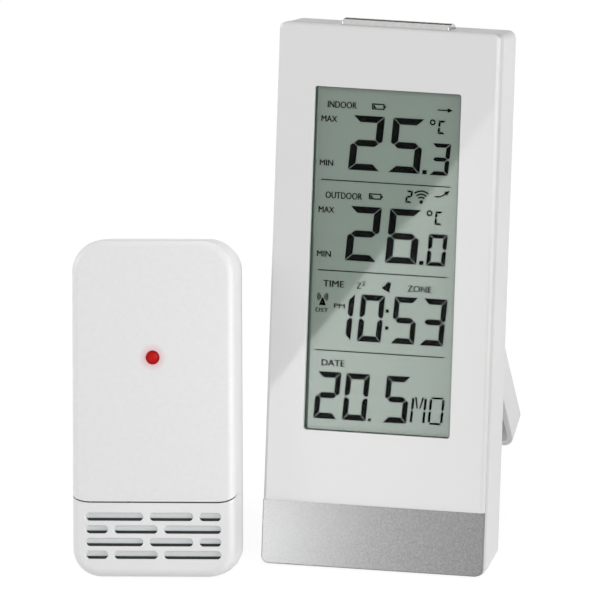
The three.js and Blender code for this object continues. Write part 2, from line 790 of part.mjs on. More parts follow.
// The region above or below the seam between the cover and the vented cap: level, with its ends turned up
function besideSeam(above) {
  const { seam, seamRise, seamRun } = SENSOR;
  const level = seam + (above ? GAP / 2 : -GAP / 2);
  const steps = 6;
  const right = [];
  for (let step = 0; step <= steps; step += 1) {
    const angle = (Math.PI / 2) * (step / steps);
    right.push([
      SENSOR_HALF - seamRun * (1 - Math.sin(angle)),
      level + seamRise * (1 - Math.cos(angle)),
    ]);
  }
  const reach = SENSOR_HALF + OVERRUN;
  right.push([reach, level + seamRise]);
  const left = right.map(([x, z]) => [-x, z]).reverse();
  const shape = new THREE.Shape();
  [...left, ...right].forEach(([x, z], index) => {
    if (index === 0) shape.moveTo(x, z);
    else shape.lineTo(x, z);
  });
  const far = above ? FAR : -FAR;
  shape.lineTo(reach, far);
  shape.lineTo(-reach, far);
  return panel(shape, -OVERRUN, SENSOR.depth + OVERRUN);
}

const SLOT_ROW = SLOTS.lengths.reduce((sum, length) => sum + length) + 2 * SLOTS.spacing;

// The vent slots: long, middle and short in a row, in turn from the left and from the right
function ventSlots() {
  const radius = SLOTS.height / 2 - 0.01;
  return SLOTS.rows.flatMap((z, row) => {
    const lengths = row % 2 ? [...SLOTS.lengths].reverse() : SLOTS.lengths;
    let left = -SLOT_ROW / 2;
    return lengths.map((length) => {
      const shape = roundRect(left, left + length, z - SLOTS.height / 2, z + SLOTS.height / 2, radius);
      left += length + SLOTS.spacing;
      return panel(shape, -OVERRUN, SENSOR.wall + 1, 2);
    });
  });
}

// A blade behind each row of slots: it slopes down from the slots' upper edge, against rain
function louvres() {
  return SLOTS.rows.map((z) => {
    const top = z + SLOTS.height / 2;
    const blade = new THREE.Shape();
    blade.moveTo(LOUVRE.front, top + LOUVRE.root);
    blade.lineTo(LOUVRE.front, top);
    blade.lineTo(LOUVRE.back, top - LOUVRE.drop);
    blade.lineTo(LOUVRE.back + LOUVRE.thickness, top - LOUVRE.drop);
    blade.lineTo(LOUVRE.back + LOUVRE.thickness, top + LOUVRE.root);
    return beam(blade, -SLOT_ROW / 2, SLOT_ROW / 2);
  });
}

function sensorFront() {
  const outer = softPanel(sensorOutline(), 0, SENSOR.coverBack, SENSOR.edgeInset, {
    edgeDepth: SENSOR.edgeDepth, segments: 4, curves: 4,
  });
  const hollow = cut(
    panel(sensorOutline(SENSOR.wall), SENSOR.wall, SENSOR.depth, 3),
    underTable(SENSOR, SENSOR.wall),
  );
  const bosses = SENSOR_SCREWS.places.map(([x, z]) => (
    cut(
      barY(x, z, SENSOR_SCREWS.boss, SENSOR.wall - 0.5, SENSOR_SCREWS.bossBack, 12),
      barY(x, z, SCREW.clearance, SENSOR_SCREWS.tip - GAP, FAR, 10),
    )
  ));
  const shell = join(cut(outer, hollow, underTable(SENSOR)), ...bosses);
  const ledHole = barY(0, LED.up, LED.radius + GAP, -OVERRUN, OVERRUN, 24);
  const cover = cut(shell.intersect(besideSeam(true)), ledHole);
  const cap = join(cut(shell.intersect(besideSeam(false)), ...ventSlots()), ...louvres());
  return [
    part('sensor_cover', cover, finish(WHITE, 0.35)),
    part('sensor_vent_cap', cap, finish(WHITE, 0.35)),
  ];
}

function sensorBackCase() {
  const front = SENSOR.coverBack + GAP;
  const backInner = SENSOR.depth - SENSOR.wall + 0.2;
  const outer = softPanel(sensorOutline(SENSOR.caseInset), front, SENSOR.depth, CONSOLE.backEdge, {
    back: true, segments: 3, curves: 4,
  });
  const hollow = cut(
    panel(sensorOutline(SENSOR.caseInset + 1.8), front - OVERRUN, backInner, 3),
    underTable(SENSOR, SENSOR.wall),
  );
  const lipRing = cut(
    panel(sensorOutline(SENSOR.wall + 1.6), SENSOR.coverBack - 1.6, front + 0.5, 3),
    panel(sensorOutline(SENSOR.wall + 2.8), 0, FAR, 3),
    underTable(SENSOR, SENSOR.wall + GAP),
    ...SENSOR_SCREWS.places.map(([x, z]) => barY(x, z, SENSOR_SCREWS.boss + GAP, 0, front, 12)),
  );
  const rimFill = cut(
    panel(sensorOutline(SENSOR.caseInset + 0.6), front, front + 1.2, 3),
    panel(sensorOutline(SENSOR.wall + 2.8), 0, FAR, 3),
    underTable(SENSOR, SENSOR.wall - 0.5),
  );
  const shell = join(cut(outer, hollow, underTable(SENSOR)), lipRing, rimFill);

  const recess = {
    half: STAND.width / 2 + 0.45,
    bottom: STAND.pinUp - STAND.reach - 0.5,
    top: STAND.pinUp + STAND.barrel + 0.4,
    front: SENSOR.depth - STAND.thickness - 0.4,
  };
  const recessBlock = block(
    -recess.half - 3, recess.half + 3, recess.front - 1.3, backInner + 0.5,
    recess.bottom - 0.6, recess.top + 0.2,
  );
  const hingeBlock = block(
    -recess.half - 3, recess.half + 3, STAND.pinBack - STAND.barrel - 1.8, backInner + 0.5,
    STAND.pinUp - STAND.barrel - 2, recess.top + 0.2,
  );
  const recessCut = join(
    block(-recess.half, recess.half, recess.front, FAR, recess.bottom, recess.top),
    block(
      -recess.half, recess.half, STAND.pinBack - STAND.barrel - 0.4, FAR,
      STAND.pinUp - STAND.barrel - 0.9, recess.top,
    ),
  );
  const pinBore = barX(
    STAND.pinBack, STAND.pinUp, STAND.pinRadius + GAP, -recess.half - 2, recess.half + 2, 16,
  );

  const half = SENSOR_BAY.half;
  const bottom = SENSOR_BAY.bottom;
  const top = SENSOR_BAY.top;
  const bayBlock = block(
    -half - 1.2, half + 1.2, BAY.floorFront, backInner + 0.5, bottom - 1, top + 1,
  );
  const shelf = block(
    -SENSOR_BAY.cover - 1, SENSOR_BAY.cover + 1, SENSOR_BAY.shelf, backInner + 0.5, bottom - 1.4, top + 1,
  );
  const pocket = block(-half, half, BAY.floorFront + BAY.floor, FAR, bottom, top);
  const well = block(
    -SENSOR_BAY.cover + 1.2, SENSOR_BAY.cover - 1.2, SENSOR_BAY.shelf + 1.4, FAR, bottom + 0.6, top - 2,
  );
  const rebate = panel(
    roundRect(-SENSOR_BAY.cover - GAP, SENSOR_BAY.cover + GAP, bottom - 1.1, top + 0.6, 1, 2),
    BAY.rebate, FAR, 2,
  );
  const switchSlot = block(
    CHANNEL.across - CHANNEL.knob - GAP, CHANNEL.across + CHANNEL.knob + GAP, 0, FAR,
    CHANNEL.up - 1.5 - CHANNEL.travel - GAP, CHANNEL.up + 1.5 + CHANNEL.travel + GAP,
  );
  const buttonHole = barY(-CHANNEL.across, CHANNEL.up, TRANSMIT.radius + GAP, 0, FAR, 18);

  const posts = SENSOR_SCREWS.places.map(([x, z]) => (
    barY(x, z, SENSOR_SCREWS.post, SENSOR_SCREWS.postFront, backInner + 0.5, 14)
  ));
  const holes = SENSOR_SCREWS.places.map(([x, z]) => (
    screwHole(x, z, SENSOR_SCREWS.postFront, SENSOR_SCREWS.seat, SENSOR.depth)
  ));
  return part(
    'sensor_back_case',
    cut(
      join(shell, recessBlock, hingeBlock, bayBlock, shelf, ...posts),
      recessCut, pinBore, pocket, well, rebate, switchSlot, buttonHole, ...holes, underTable(SENSOR),
    ),
    finish(WHITE, 0.4),
  );
}

function sensorGasket() {
  const ring = cut(
    panel(sensorOutline(SENSOR.wall + GAP), SENSOR.coverBack - 1.3, SENSOR.coverBack, 3),
    panel(sensorOutline(SENSOR.wall + 1.6 - GAP), 0, FAR, 3),
    underTable(SENSOR, SENSOR.wall + GAP),
  );
  return part('sensor_gasket', ring, finish(DARK, 0.9));
}

function ledLens() {
  const profile = [
    [0, -LED.proud],
    [LED.radius * 0.55, -LED.proud * 0.85],
    [LED.radius * 0.88, -LED.proud * 0.45],
    [LED.radius, 0.1],
    [LED.radius, SENSOR.wall + GAP],
    [LED.flange, SENSOR.wall + GAP],
    [LED.flange, SENSOR_BOARD.front - GAP],
    [0, SENSOR_BOARD.front - GAP],
  ];
  const geometry = new THREE.LatheGeometry(profile.map(([r, y]) => new THREE.Vector2(r, y)), 24);
  geometry.translate(0, 0, LED.up);
  return part('sensor_led', toSolid(geometry), finish(LED_RED, 0.2));
}

function sensorInside() {
  const group = new THREE.Group();
  const plate = block(
    -SENSOR_BOARD.half, SENSOR_BOARD.half, SENSOR_BOARD.front, SENSOR_BOARD.back,
    SENSOR_BOARD.bottom, SENSOR_BOARD.top,
  );
  const slideBody = block(
    CHANNEL.across - CHANNEL.body, CHANNEL.across + CHANNEL.body,
    SENSOR_BOARD.back - 0.5, SENSOR_BOARD.back + SENSOR_BOARD.switch, CHANNEL.up - 4.5, CHANNEL.up + 4.5,
  );
  const pressBody = block(
    -CHANNEL.across - CHANNEL.body, -CHANNEL.across + CHANNEL.body,
    SENSOR_BOARD.back - 0.5, SENSOR_BOARD.back + SENSOR_BOARD.switch, CHANNEL.up - 2, CHANNEL.up + 2,
  );
  group.add(part('sensor_board', join(plate, slideBody, pressBody), finish(BOARD_GREEN, 0.5)));
  const stem = SENSOR_BOARD.back + SENSOR_BOARD.switch + GAP;
  group.add(part(
    'channel_switch',
    block(
      CHANNEL.across - CHANNEL.knob, CHANNEL.across + CHANNEL.knob, stem, CHANNEL.end,
      CHANNEL.up - 1.5, CHANNEL.up + 1.5,
    ),
    finish(DARK, 0.5),
  ));
  group.add(part(
    'transmit_button',
    barY(-CHANNEL.across, CHANNEL.up, TRANSMIT.radius, stem + TRANSMIT.travel, TRANSMIT.end, 18),
    finish(DARK, 0.5),
  ));
  const probe = [[0, 0], [1.5, 0.8], [1.5, 2.6], [0.6, 3.6], [0.6, 12], [0, 12]];
  const bead = new THREE.LatheGeometry(probe.map(([r, l]) => new THREE.Vector2(r, l)), 12);
  bead.rotateX(Math.PI / 2);
  bead.translate(-9, SENSOR_BOARD.back + 0.5, SENSOR_BOARD.bottom - GAP - 12);
  group.add(part('sensor_thermistor', toSolid(bead), finish(DARK, 0.5)));
  group.add(part(
    'sensor_antenna', barZ(10, SENSOR_BOARD.back + 1.2, 0.6, 28, 43, 10), finish(NICKEL, 0.4, 1),
  ));
  return group;
}

// The small stand, in the frame of its pin when folded away
function sensorStand() {
  const outer = SENSOR.depth - STAND.pinBack;
  const half = STAND.width / 2;
  const plate = panel(
    roundRect(-half, half, -STAND.reach, 0, STAND.corner, 0.1), outer - STAND.thickness, outer, 3,
  );
  const barrel = barX(0, 0, STAND.barrel, -half, half, 20);
  const bore = barX(0, 0, STAND.pinRadius + GAP, -FAR, FAR, 16);
  const table = new THREE.BoxGeometry(2 * FAR, 2 * FAR, FAR);
  table.translate(0, 0, -FAR / 2);
  table.rotateX(SENSOR.lean);
  table.translate(0, SENSOR.baseStart - STAND.pinBack, -STAND.pinUp);
  table.rotateX(-STAND.open);
  const solid = cut(join(plate, barrel), bore, toSolid(table));
  return part('sensor_stand', solid, finish(WHITE, 0.4));
}

function standAssembly() {
  const group = new THREE.Group();
  group.position.set(0, STAND.pinBack, STAND.pinUp);
  group.rotation.x = STAND.open;
  group.add(sensorStand());
  const half = STAND.width / 2 + 2;
  group.add(part('sensor_stand_pin', barX(0, 0, STAND.pinRadius, -half, half, 16), finish(NICKEL, 0.3, 1)));
  return group;
}

function buildSensor() {
  const unit = new THREE.Group();
  unit.rotation.x = -SENSOR.lean;
  unit.position.z = SENSOR.baseStart * Math.sin(SENSOR.lean);
  sensorFront().forEach((mesh) => unit.add(mesh));
  unit.add(sensorBackCase());
  unit.add(sensorGasket());
  unit.add(ledLens());
  unit.add(sensorInside());
  const cells = cellsAndContacts('sensor_');
  cells.position.z = SENSOR_BAY_UP;
  cells.rotation.y = -Math.PI / 2;
  unit.add(cells);
  unit.add(batteryCover(
    'sensor_battery_cover', SENSOR_BAY.cover, SENSOR_BAY.bottom - 0.8, SENSOR_BAY.top + 0.3, 1.2,
  ));
  unit.add(standAssembly());
  addScrews(unit, 'sensor_screw', SENSOR_SCREWS.places, SENSOR_SCREWS.seat, SENSOR_SCREWS.tip);
  const group = new THREE.Group();
  group.rotation.z = SENSOR.turn;
  group.position.set(-SENSOR.left, -SENSOR.forward, 0);
  group.add(unit);
  return group;
}

// The whole set, with its origin on the table under the middle of its box

const station = new THREE.Group();
station.add(buildConsole());
station.add(buildSensor());
station.updateMatrixWorld(true);
const bounds = new THREE.Box3().setFromObject(station, true);
const middle = bounds.getCenter(new THREE.Vector3());
station.position.set(-middle.x, -middle.y, -bounds.min.z);
station.updateMatrixWorld(true);

export default station;
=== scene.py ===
"""The looks of a desktop weather station: finer shells, the display's drawing, finishes, light and camera.

Each unit is drawn in its own axes, in millimetres: x to the right, y back from its face, z up the face.
"""

import json
import math
from collections import namedtuple
from types import SimpleNamespace as Values

import bmesh
import bpy
from mathutils import Matrix, Vector


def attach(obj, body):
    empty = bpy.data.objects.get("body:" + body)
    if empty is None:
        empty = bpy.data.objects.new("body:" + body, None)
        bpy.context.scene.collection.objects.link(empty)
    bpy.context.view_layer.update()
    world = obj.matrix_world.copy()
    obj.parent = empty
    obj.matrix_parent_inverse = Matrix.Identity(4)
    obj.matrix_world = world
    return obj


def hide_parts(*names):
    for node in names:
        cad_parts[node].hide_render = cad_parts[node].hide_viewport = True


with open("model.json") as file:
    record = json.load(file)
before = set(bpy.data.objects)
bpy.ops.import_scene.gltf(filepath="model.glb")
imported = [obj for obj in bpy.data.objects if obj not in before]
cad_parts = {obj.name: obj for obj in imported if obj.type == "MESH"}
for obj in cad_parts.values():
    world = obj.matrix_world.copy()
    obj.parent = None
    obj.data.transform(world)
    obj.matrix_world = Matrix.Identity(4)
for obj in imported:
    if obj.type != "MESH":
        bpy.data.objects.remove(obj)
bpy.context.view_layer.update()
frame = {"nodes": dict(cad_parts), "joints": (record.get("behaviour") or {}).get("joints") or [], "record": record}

MM = 0.001
NODES = frame["nodes"]
JOINTS = {joint["name"]: joint for joint in frame["joints"]}

# Driving dimensions that the frame does not give, in millimetres. GAP is the play between pieces, and FAR
# lies past everything. BITE is how far a joined wall reaches into its neighbour. RIM is the size of an
# opening's round lip, and the steps over it.

GAP = 0.3
FAR = 200
BITE = 0.5
RIM = (0.25, 4)

WINDOW = Values(
    half=24.75, bottom=44, top=155, flange=1.5, flange_back=0.6, lip=0.15, cover=0.45, corner=0.9,
)
PLATE = Values(corner=2.1, edge=1.1)
TRIM = Values(corner=2.5, edge=0.35, play=0.02)
CASE = Values(corner=2.7, back_edge=2.4, wall=1.8, inner_corner=1.2, front_edge=0.2)

VENTS = Values(left=27.6, right=34.4, heights=(28, 32, 36), half=0.7)

SCREW = Values(
    head=2, head_height=1.6, shank=1.05, hole=1.35, counterbore=2.4, post=3.2, cross=0.42,
    cross_reach=1.25, cross_depth=0.9, crown=0.45, lip=0.3,
)

BAY = Values(
    length=53, width=23.8, front=5.9, floor=1, rebate=18.4, rebate_lip=2.6, rebate_end=1, rebate_corner=1.1,
    skin=1.2, end_skin=1, foot_skin=0.2,
)

LEG_SHAPE = Values(
    reach=105.8, skin=2, foot_corner=4.8, top_corner=0.6, taper=28, room=0.45, boss=3.4, boss_overlap=1.5,
    pin_half=27, pin_radius=1.5, rib=7.5, rib_half=0.6, rib_height=2.6, front_edge=0.35, back_edge=0.7,
)

SNOOZE = Values(
    half=18, front=6.3, back=14.3, face=1.05, crown=1.75, corner=0.5, fillet=0.3, flange=1.2, flange_side=1,
    flange_front=0.8,
)

BUTTON = Values(
    radius=3.1, flange=4, flange_back=1.8, proud=0.8, stem=1.5, reach=6.9, dish=0.28, edge=0.45, rim=0.35,
    lip=0.3,
)

SENSOR_SHAPE = Values(
    top_corner=10.6, bottom_corner=9.2, edge_depth=3, edge_inset=2.6, wall=2, case_inset=0.8,
    case_wall=1.8, lip=(1.6, 2.8), lip_reach=1.6, rim_inset=0.6, rim_depth=1.2, seam=24.05, seam_rise=2.6,
    seam_run=6.2, seam_lip=0.26, seam_play=0.19,
)

SLOTS = Values(
    height=2.5, lengths=(18.7, 14.2, 7.1), spacing=2.1, rows=(19.3, 15.2, 11.1, 7), lip=0.42, margin=1.6,
)

# The louvre's shade sheet is a dark sheet of painted shade behind the vent slots.
LOUVRE = Values(
    front=1, back=1.7, drop=1.55, thickness=0.6, tip=0.12, root=0.6, screen=3.2, screen_seat=0.6,
    screen_thickness=0.2, screen_play=0.1,
)

LED = Values(radius=2.2, flange=2.9, proud=0.5, lip=0.06, play=0.06)

SENSOR_SCREW = Values(seat=16.5, front=13.3, post=2.9, boss=2.3, tip=8)
CASE_SCREW = Values(seat=11, front=7.6)

SENSOR_COVER = Values(
    half=17.6, shelf=14.4, corner=1.2, skin=1, foot_skin=1.4, floor=1.4, ledge=1.2, foot_ledge=0.6,
    top_ledge=2, below=1.1, above=0.6, rebate_corners=(1, 2),
)

SWITCH_TRAVEL = 2

STAND = Values(
    thickness=2.2, barrel=2.1, pin_radius=1, corner=4, reach=37, half=15, room=0.45, play=0.4, below=0.5,
    cheek=3, skin=1.3, foot_skin=0.6, head_skin=0.2, barrel_skin=1.8, barrel_foot=2, barrel_below=0.9,
    pin_reach=2, top_corner=0.1, front_edge=0.3, back_edge=0.4,
)

CELL = Values(radius=5.2, edge=0.55, nub_radius=1.9, nub=0.8, bevel=0.2)

LID = Values(
    edge=0.3, corner=0.8, thumb=3, groove=0.9, groove_half=6, groove_step=2, groove_corner=0.4,
    groove_depth=0.5, groove_lip=0.18, arrow_up=7.2, arrow_half=2.2, arrow_height=2.4, arrow_depth=0.35,
    arrow_lip=0.12,
)

RECESS = Values(below=1, above=4.6, behind=0.6, wall=1.5, corner=0.6, lip=0.5)

# Camera: a long lens, so the display's sides stay parallel as in the photograph

CAMERA = Values(
    azimuth=18.85, elevation=28.02, roll=-5.47, distance=7.5, aim=(0.7, 3.68, 75.27), span=190.65,
    sensor=36,
)


def look_from(azimuth, elevation):
    """The direction from the object towards a place at this azimuth and elevation, in degrees."""
    a, e = math.radians(azimuth), math.radians(elevation)
    return Vector((math.sin(a) * math.cos(e), -math.cos(a) * math.cos(e), math.sin(e)))


CAMERA_BACK = look_from(CAMERA.azimuth, CAMERA.elevation)
CAMERA_PLACE = Vector(CAMERA.aim) * MM + CAMERA_BACK * CAMERA.distance


def make_camera():
    data = bpy.data.cameras.new("camera")
    data.sensor_width = CAMERA.sensor
    data.lens = CAMERA.sensor * CAMERA.distance / (CAMERA.span * MM)
    data.clip_start = 0.1
    data.clip_end = 30
    camera = in_scene("camera", data)
    level = CAMERA_BACK.to_track_quat("Z", "Y").to_matrix().to_4x4()
    turn = Matrix.Rotation(math.radians(CAMERA.roll), 4, "Z")
    camera.matrix_world = Matrix.Translation(CAMERA_PLACE) @ level @ turn
    bpy.context.scene.camera = camera


# The units' own axes, from the joints and nodes of the frame

Box = namedtuple("Box", "x0 x1 y0 y1 z0 z1")


class Unit:
    def __init__(self, body, up, back, origin):
        self.body = body
        self.up = Vector(up).normalized()
        self.back = Vector(back).normalized()
        self.right = self.back.cross(self.up)
        self.matrix = Matrix.Identity(4)
        for column, axis in enumerate((self.right, self.back, self.up)):
            for row in range(3):
                self.matrix[row][column] = axis[row] * MM
        self.matrix.translation = origin
        self.inverse = self.matrix.inverted()

    def at(self, x, y, z):
        return self.matrix @ Vector((x, y, z))

    def points(self, node):
        """A CAD node's vertices in these axes."""
        return [self.inverse @ vertex.co for vertex in NODES[node].data.vertices]

    def extent(self, node):
        """A CAD node's box in these axes."""
        axes = list(zip(*self.points(node)))
        return Box(*(end(values) for values in axes for end in (min, max)))

    def spot(self, node):
        """The x and z of a CAD node's middle."""
        space = self.extent(node)
        return (space.x0 + space.x1) / 2, (space.z0 + space.z1) / 2

    def pin(self, joint):
        """The place of a hinge."""
        return self.inverse @ Vector(JOINTS[joint]["pos_m"])

    def table(self, y, above=0.0):
        """The height up the unit, at this depth, of the table or of a plane above it."""
        return (above - self.matrix.translation.z / MM - y * self.back.z) / self.up.z

    def opened(self, body, joint):
        """The axes of a leaf that folds out from this unit: its own axes, turned with it about its pin."""
        turn = Matrix.Rotation(math.radians(-joint["range_deg"][0]), 3, self.right)
        return Unit(body, turn @ self.up, turn @ self.back, Vector(joint["pos_m"]))


def unit_on(body, up, back, face, foot):
    """A unit with its origin at the middle of its lower front edge."""
    loose = Unit(body, up, back, Vector())
    plate, base = loose.extent(face), loose.extent(foot)
    return Unit(body, up, back, loose.at((plate.x0 + plate.x1) / 2, plate.y0, base.z0))


def opposite(vector):
    return [-value for value in vector]


CONSOLE = unit_on(
    "console", opposite(JOINTS["snooze_press"]["axis"]), opposite(JOINTS["mode_press"]["axis"]),
    "front_plate", "silver_trim",
)
SENSOR = unit_on(
    "sensor", JOINTS["channel_slide"]["axis"], opposite(JOINTS["transmit_press"]["axis"]),
    "sensor_cover", "sensor_vent_cap",
)
LEG = CONSOLE.opened("leg", JOINTS["leg_fold"])
SENSOR_STAND = SENSOR.opened("sensor_stand", JOINTS["sensor_stand_fold"])

COVER = SENSOR.extent("sensor_cover")
LAMP_X, LAMP_Z = SENSOR.spot("sensor_led")
CASE_SCREWS = [CONSOLE.spot(f"case_screw_{index}") for index in range(1, 5)]
SENSOR_SCREWS = [SENSOR.spot(f"sensor_screw_{index}") for index in range(1, 5)]

# Meshes, drawn in a unit's millimetres


def in_scene(name, data):
    thing = bpy.data.objects.new(name, data)
    bpy.context.scene.collection.objects.link(thing)
    return thing


def drawn(name, shape):
    """A bmesh as an object in the scene."""
    mesh = bpy.data.meshes.new(name)
    shape.to_mesh(mesh)
    shape.free()
    return in_scene(name, mesh)


def new_object(name, points, faces):
    shape = bmesh.new()
    corners = [shape.verts.new(point) for point in points]
    for face in faces:
        shape.faces.new([corners[i] for i in face])
    shape.normal_update()
    bmesh.ops.recalc_face_normals(shape, faces=shape.faces)
    return drawn(name, shape)


def loft(rings):
    """A closed body through rings of points, all with the same count, capped at both ends."""
    count = len(rings[0])
    last = len(rings) - 1
    faces = [tuple(range(count)), tuple(range(last * count, (last + 1) * count))]
    for level in range(last):
        for i in range(count):
            a = level * count + i
            b = level * count + (i + 1) % count
            faces.append((a, b, b + count, a + count))
    return new_object("body", [point for ring in rings for point in ring], faces)


def rounded(box, bottom, top=None, steps=10):
    """Outlines of a rectangle x0, x1, z0, z1 with round corners, grown by a given amount."""
    least = 0.04

    def outline(grow=0.0):
        x0, x1, z0, z1 = box[0] - grow, box[1] + grow, box[2] - grow, box[3] + grow
        low = max(bottom + grow, least)
        high = max((bottom if top is None else top) + grow, least)
        corners = [
            (x1 - low, z0 + low, low, -90), (x1 - high, z1 - high, high, 0),
            (x0 + high, z1 - high, high, 90), (x0 + low, z0 + low, low, 180),
        ]
        arcs = [arc(x, z, radius, start, start + 90, steps) for x, z, radius, start in corners]
        return [point for points in arcs for point in points]

    return outline


def arc(x, z, radius, start, stop, steps=14):
    angles = [math.radians(start + (stop - start) * i / steps) for i in range(steps + 1)]
    return [(x + radius * math.cos(a), z + radius * math.sin(a)) for a in angles]


def disc(x, z, radius, sides=24):
    return arc(x, z, radius, 0, 360 - 360 / sides, sides - 1)


def circle(x, z, radius):
    """Outlines of a circle, grown by a given amount."""
    return lambda grow=0.0: disc(x, z, radius + grow, 40)


def stack(outline, levels, low=-math.inf, high=math.inf):
    """A body through an outline grown by each level's first value at its second, kept from low to high."""
    rings = []
    for grow, y in levels:
        rings.append([(x, y, min(max(z, low), high)) for x, z in outline(grow)])
    return loft(rings)


def quarter(inwards, deep, rounds):
    """A rounded edge as (inwards, depth) pairs, from the face to the side."""
    pairs = []
    for step in range(rounds + 1):
        angle = math.radians(90 * step / rounds)
        pairs.append((inwards * (1 - math.sin(angle)), deep * (1 - math.cos(angle))))
    return pairs


def slab_levels(y0, y1, front=0.0, back=0.0, rounds=8):
    """The levels of a plate from y0 back to y1, with its front and back edges rounded."""
    first = [(-inwards, y0 + deep) for inwards, deep in quarter(front, front, rounds)]
    last = [(-inwards, y1 - deep) for inwards, deep in reversed(quarter(back, back, rounds))]
    return (first if front else [(0, y0)]) + (last if back else [(0, y1)])


def drawn_in(y, deep, inset):
    """How far an edge that rounds over this depth is drawn in at y."""
    return 0.0 if y >= deep else inset * (1 - math.sqrt(1 - (1 - y / deep) ** 2))


def mouth_levels(floor, face, lip, rounds=5):
    """The levels of a hole from its floor to its mouth, which opens out over a round lip."""
    out = math.copysign(1, face - floor)
    levels = [(0, floor)]
    for step in range(rounds + 1):
        angle = math.radians(90 * step / rounds)
        levels.append((lip * (1 - math.cos(angle)), face - out * lip * (1 - math.sin(angle))))
    levels.append((lip, face + out))
    return levels


def point_along(axis, u, v, w):
    """The point at w along x, y or z and at u, v across it."""
    return {"x": (w, u, v), "y": (u, w, v), "z": (u, v, w)}[axis]


def prism(outline, low, high, axis="y"):
    """An outline of points pushed along x, y or z from low to high."""
    return loft([[point_along(axis, u, v, w) for u, v in outline] for w in (low, high)])


def rectangle(x0, x1, z0, z1):
    return [(x0, z0), (x1, z0), (x1, z1), (x0, z1)]


def block(x0, x1, y0, y1, z0, z1):
    return prism(rectangle(x0, x1, z0, z1), y0, y1)


def wide(half, y0, y1, z0, z1):
    """A block that reaches as far to the left as to the right."""
    return block(-half, half, y0, y1, z0, z1)


def turned(profile, centre, axis="y", sides=48):
    """A body turned about an axis through centre: profile is (radius, place along the axis)."""
    rings = []
    for radius, place in profile:
        ring = []
        for side in range(sides):
            angle = 2 * math.pi * side / sides
            offset = point_along(axis, radius * math.cos(angle), radius * math.sin(angle), place)
            ring.append(tuple(c + o for c, o in zip(centre, offset)))
        rings.append(ring)
    return loft(rings)


def bar(axis, centre, radius, low, high, sides=40):
    return turned([(radius, low), (radius, high)], centre, axis, sides)


def posts(places, radius, low, high, sides=40):
    """Round bars along y at these places, as one object."""
    return merged([bar("y", (x, 0, z), radius, low, high, sides) for x, z in places])


def under_table(unit, above=0.0):
    """Everything below the table, or below a plane above it."""
    outline = [(y, unit.table(y, above)) for y in (-FAR, FAR)] + [(FAR, -2 * FAR), (-FAR, -2 * FAR)]
    return prism(outline, -FAR, FAR, "x")


def bake_modifiers(thing):
    graph = bpy.context.evaluated_depsgraph_get()
    made = bpy.data.meshes.new_from_object(thing.evaluated_get(graph))
    old = thing.data
    thing.modifiers.clear()
    thing.data = made
    bpy.data.meshes.remove(old)


def discard(thing):
    mesh = thing.data
    bpy.data.objects.remove(thing)
    bpy.data.meshes.remove(mesh)


def merged(things):
    """Bodies that don't touch, as one object."""
    shape = bmesh.new()
    for thing in things:
        shape.from_mesh(thing.data)
    for thing in things:
        discard(thing)
    return drawn("merged", shape)


def combine(thing, operation, *tools):
    """Cuts the tools out of a body, joins them to it, or keeps what they share."""
    for tool in tools:
        modifier = thing.modifiers.new("shape", "BOOLEAN")
        modifier.operation = operation
        modifier.solver = "EXACT"
        modifier.object = tool
    bake_modifiers(thing)
    for tool in tools:
        discard(tool)
    return thing


def cut(thing, *tools):
    return combine(thing, "DIFFERENCE", *tools)


def join(thing, *tools):
    return combine(thing, "UNION", *tools)


def dress(thing, name, unit, slot, replaces=(), body=None, material=None, angle=35):
    """Puts a drawn body in its place on the frame, with its finish."""
    thing.name = name
    thing.data.name = name
    thing.data.transform(unit.matrix)
    thing.data.shade_smooth()
    thing.data.set_sharp_from_angle(angle=math.radians(angle))
    thing.data.materials.clear()
    thing.data.materials.append(MATERIALS[material or slot])
    flat_faces_first = thing.modifiers.new("normals", "WEIGHTED_NORMAL")
    flat_faces_first.keep_sharp = True
    flat_faces_first.weight = 90
    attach(thing, body or unit.body)
    if replaces:
        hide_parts(*replaces)


# Finishes


class Nodes:
    """A node tree being built."""

    def __init__(self, tree):
        self.tree = tree

    def add(self, kind, inputs=(), **settings):
        """A new node with these properties, and with its inputs fed by name or by number."""
        node = self.tree.nodes.new(kind)
        for key, value in settings.items():
            setattr(node, key, value)
        for key, value in dict(inputs).items():
            self.feed(node.inputs[key], value)
        return node

    def feed(self, socket, value):
        """Links a socket to another, or gives it a constant value."""
        if isinstance(value, bpy.types.NodeSocket):
            self.tree.links.new(value, socket)
        elif socket.type == "RGBA":
            socket.default_value = (*value, 1)
        else:
            socket.default_value = value

    def math(self, operation, *values):
        return self.add("ShaderNodeMath", enumerate(values), operation=operation).outputs[0]

    def vector_math(self, operation, *vectors):
        return self.add("ShaderNodeVectorMath", enumerate(vectors), operation=operation).outputs["Value"]

    def ramp(self, source, low, high, start=0.3, stop=0.7):
        """Turns values between start and stop into values between low and high."""
        inputs = {"Value": source, "From Min": start, "From Max": stop, "To Min": low, "To Max": high}
        return self.add("ShaderNodeMapRange", inputs).outputs["Result"]

    def mix(self, output, share, first, second):
        """Shows a mix of two shaders."""
        mix = self.add("ShaderNodeMixShader", {0: share, 1: first.outputs[0], 2: second.outputs[0]})
        self.feed(output.inputs["Surface"], mix.outputs[0])


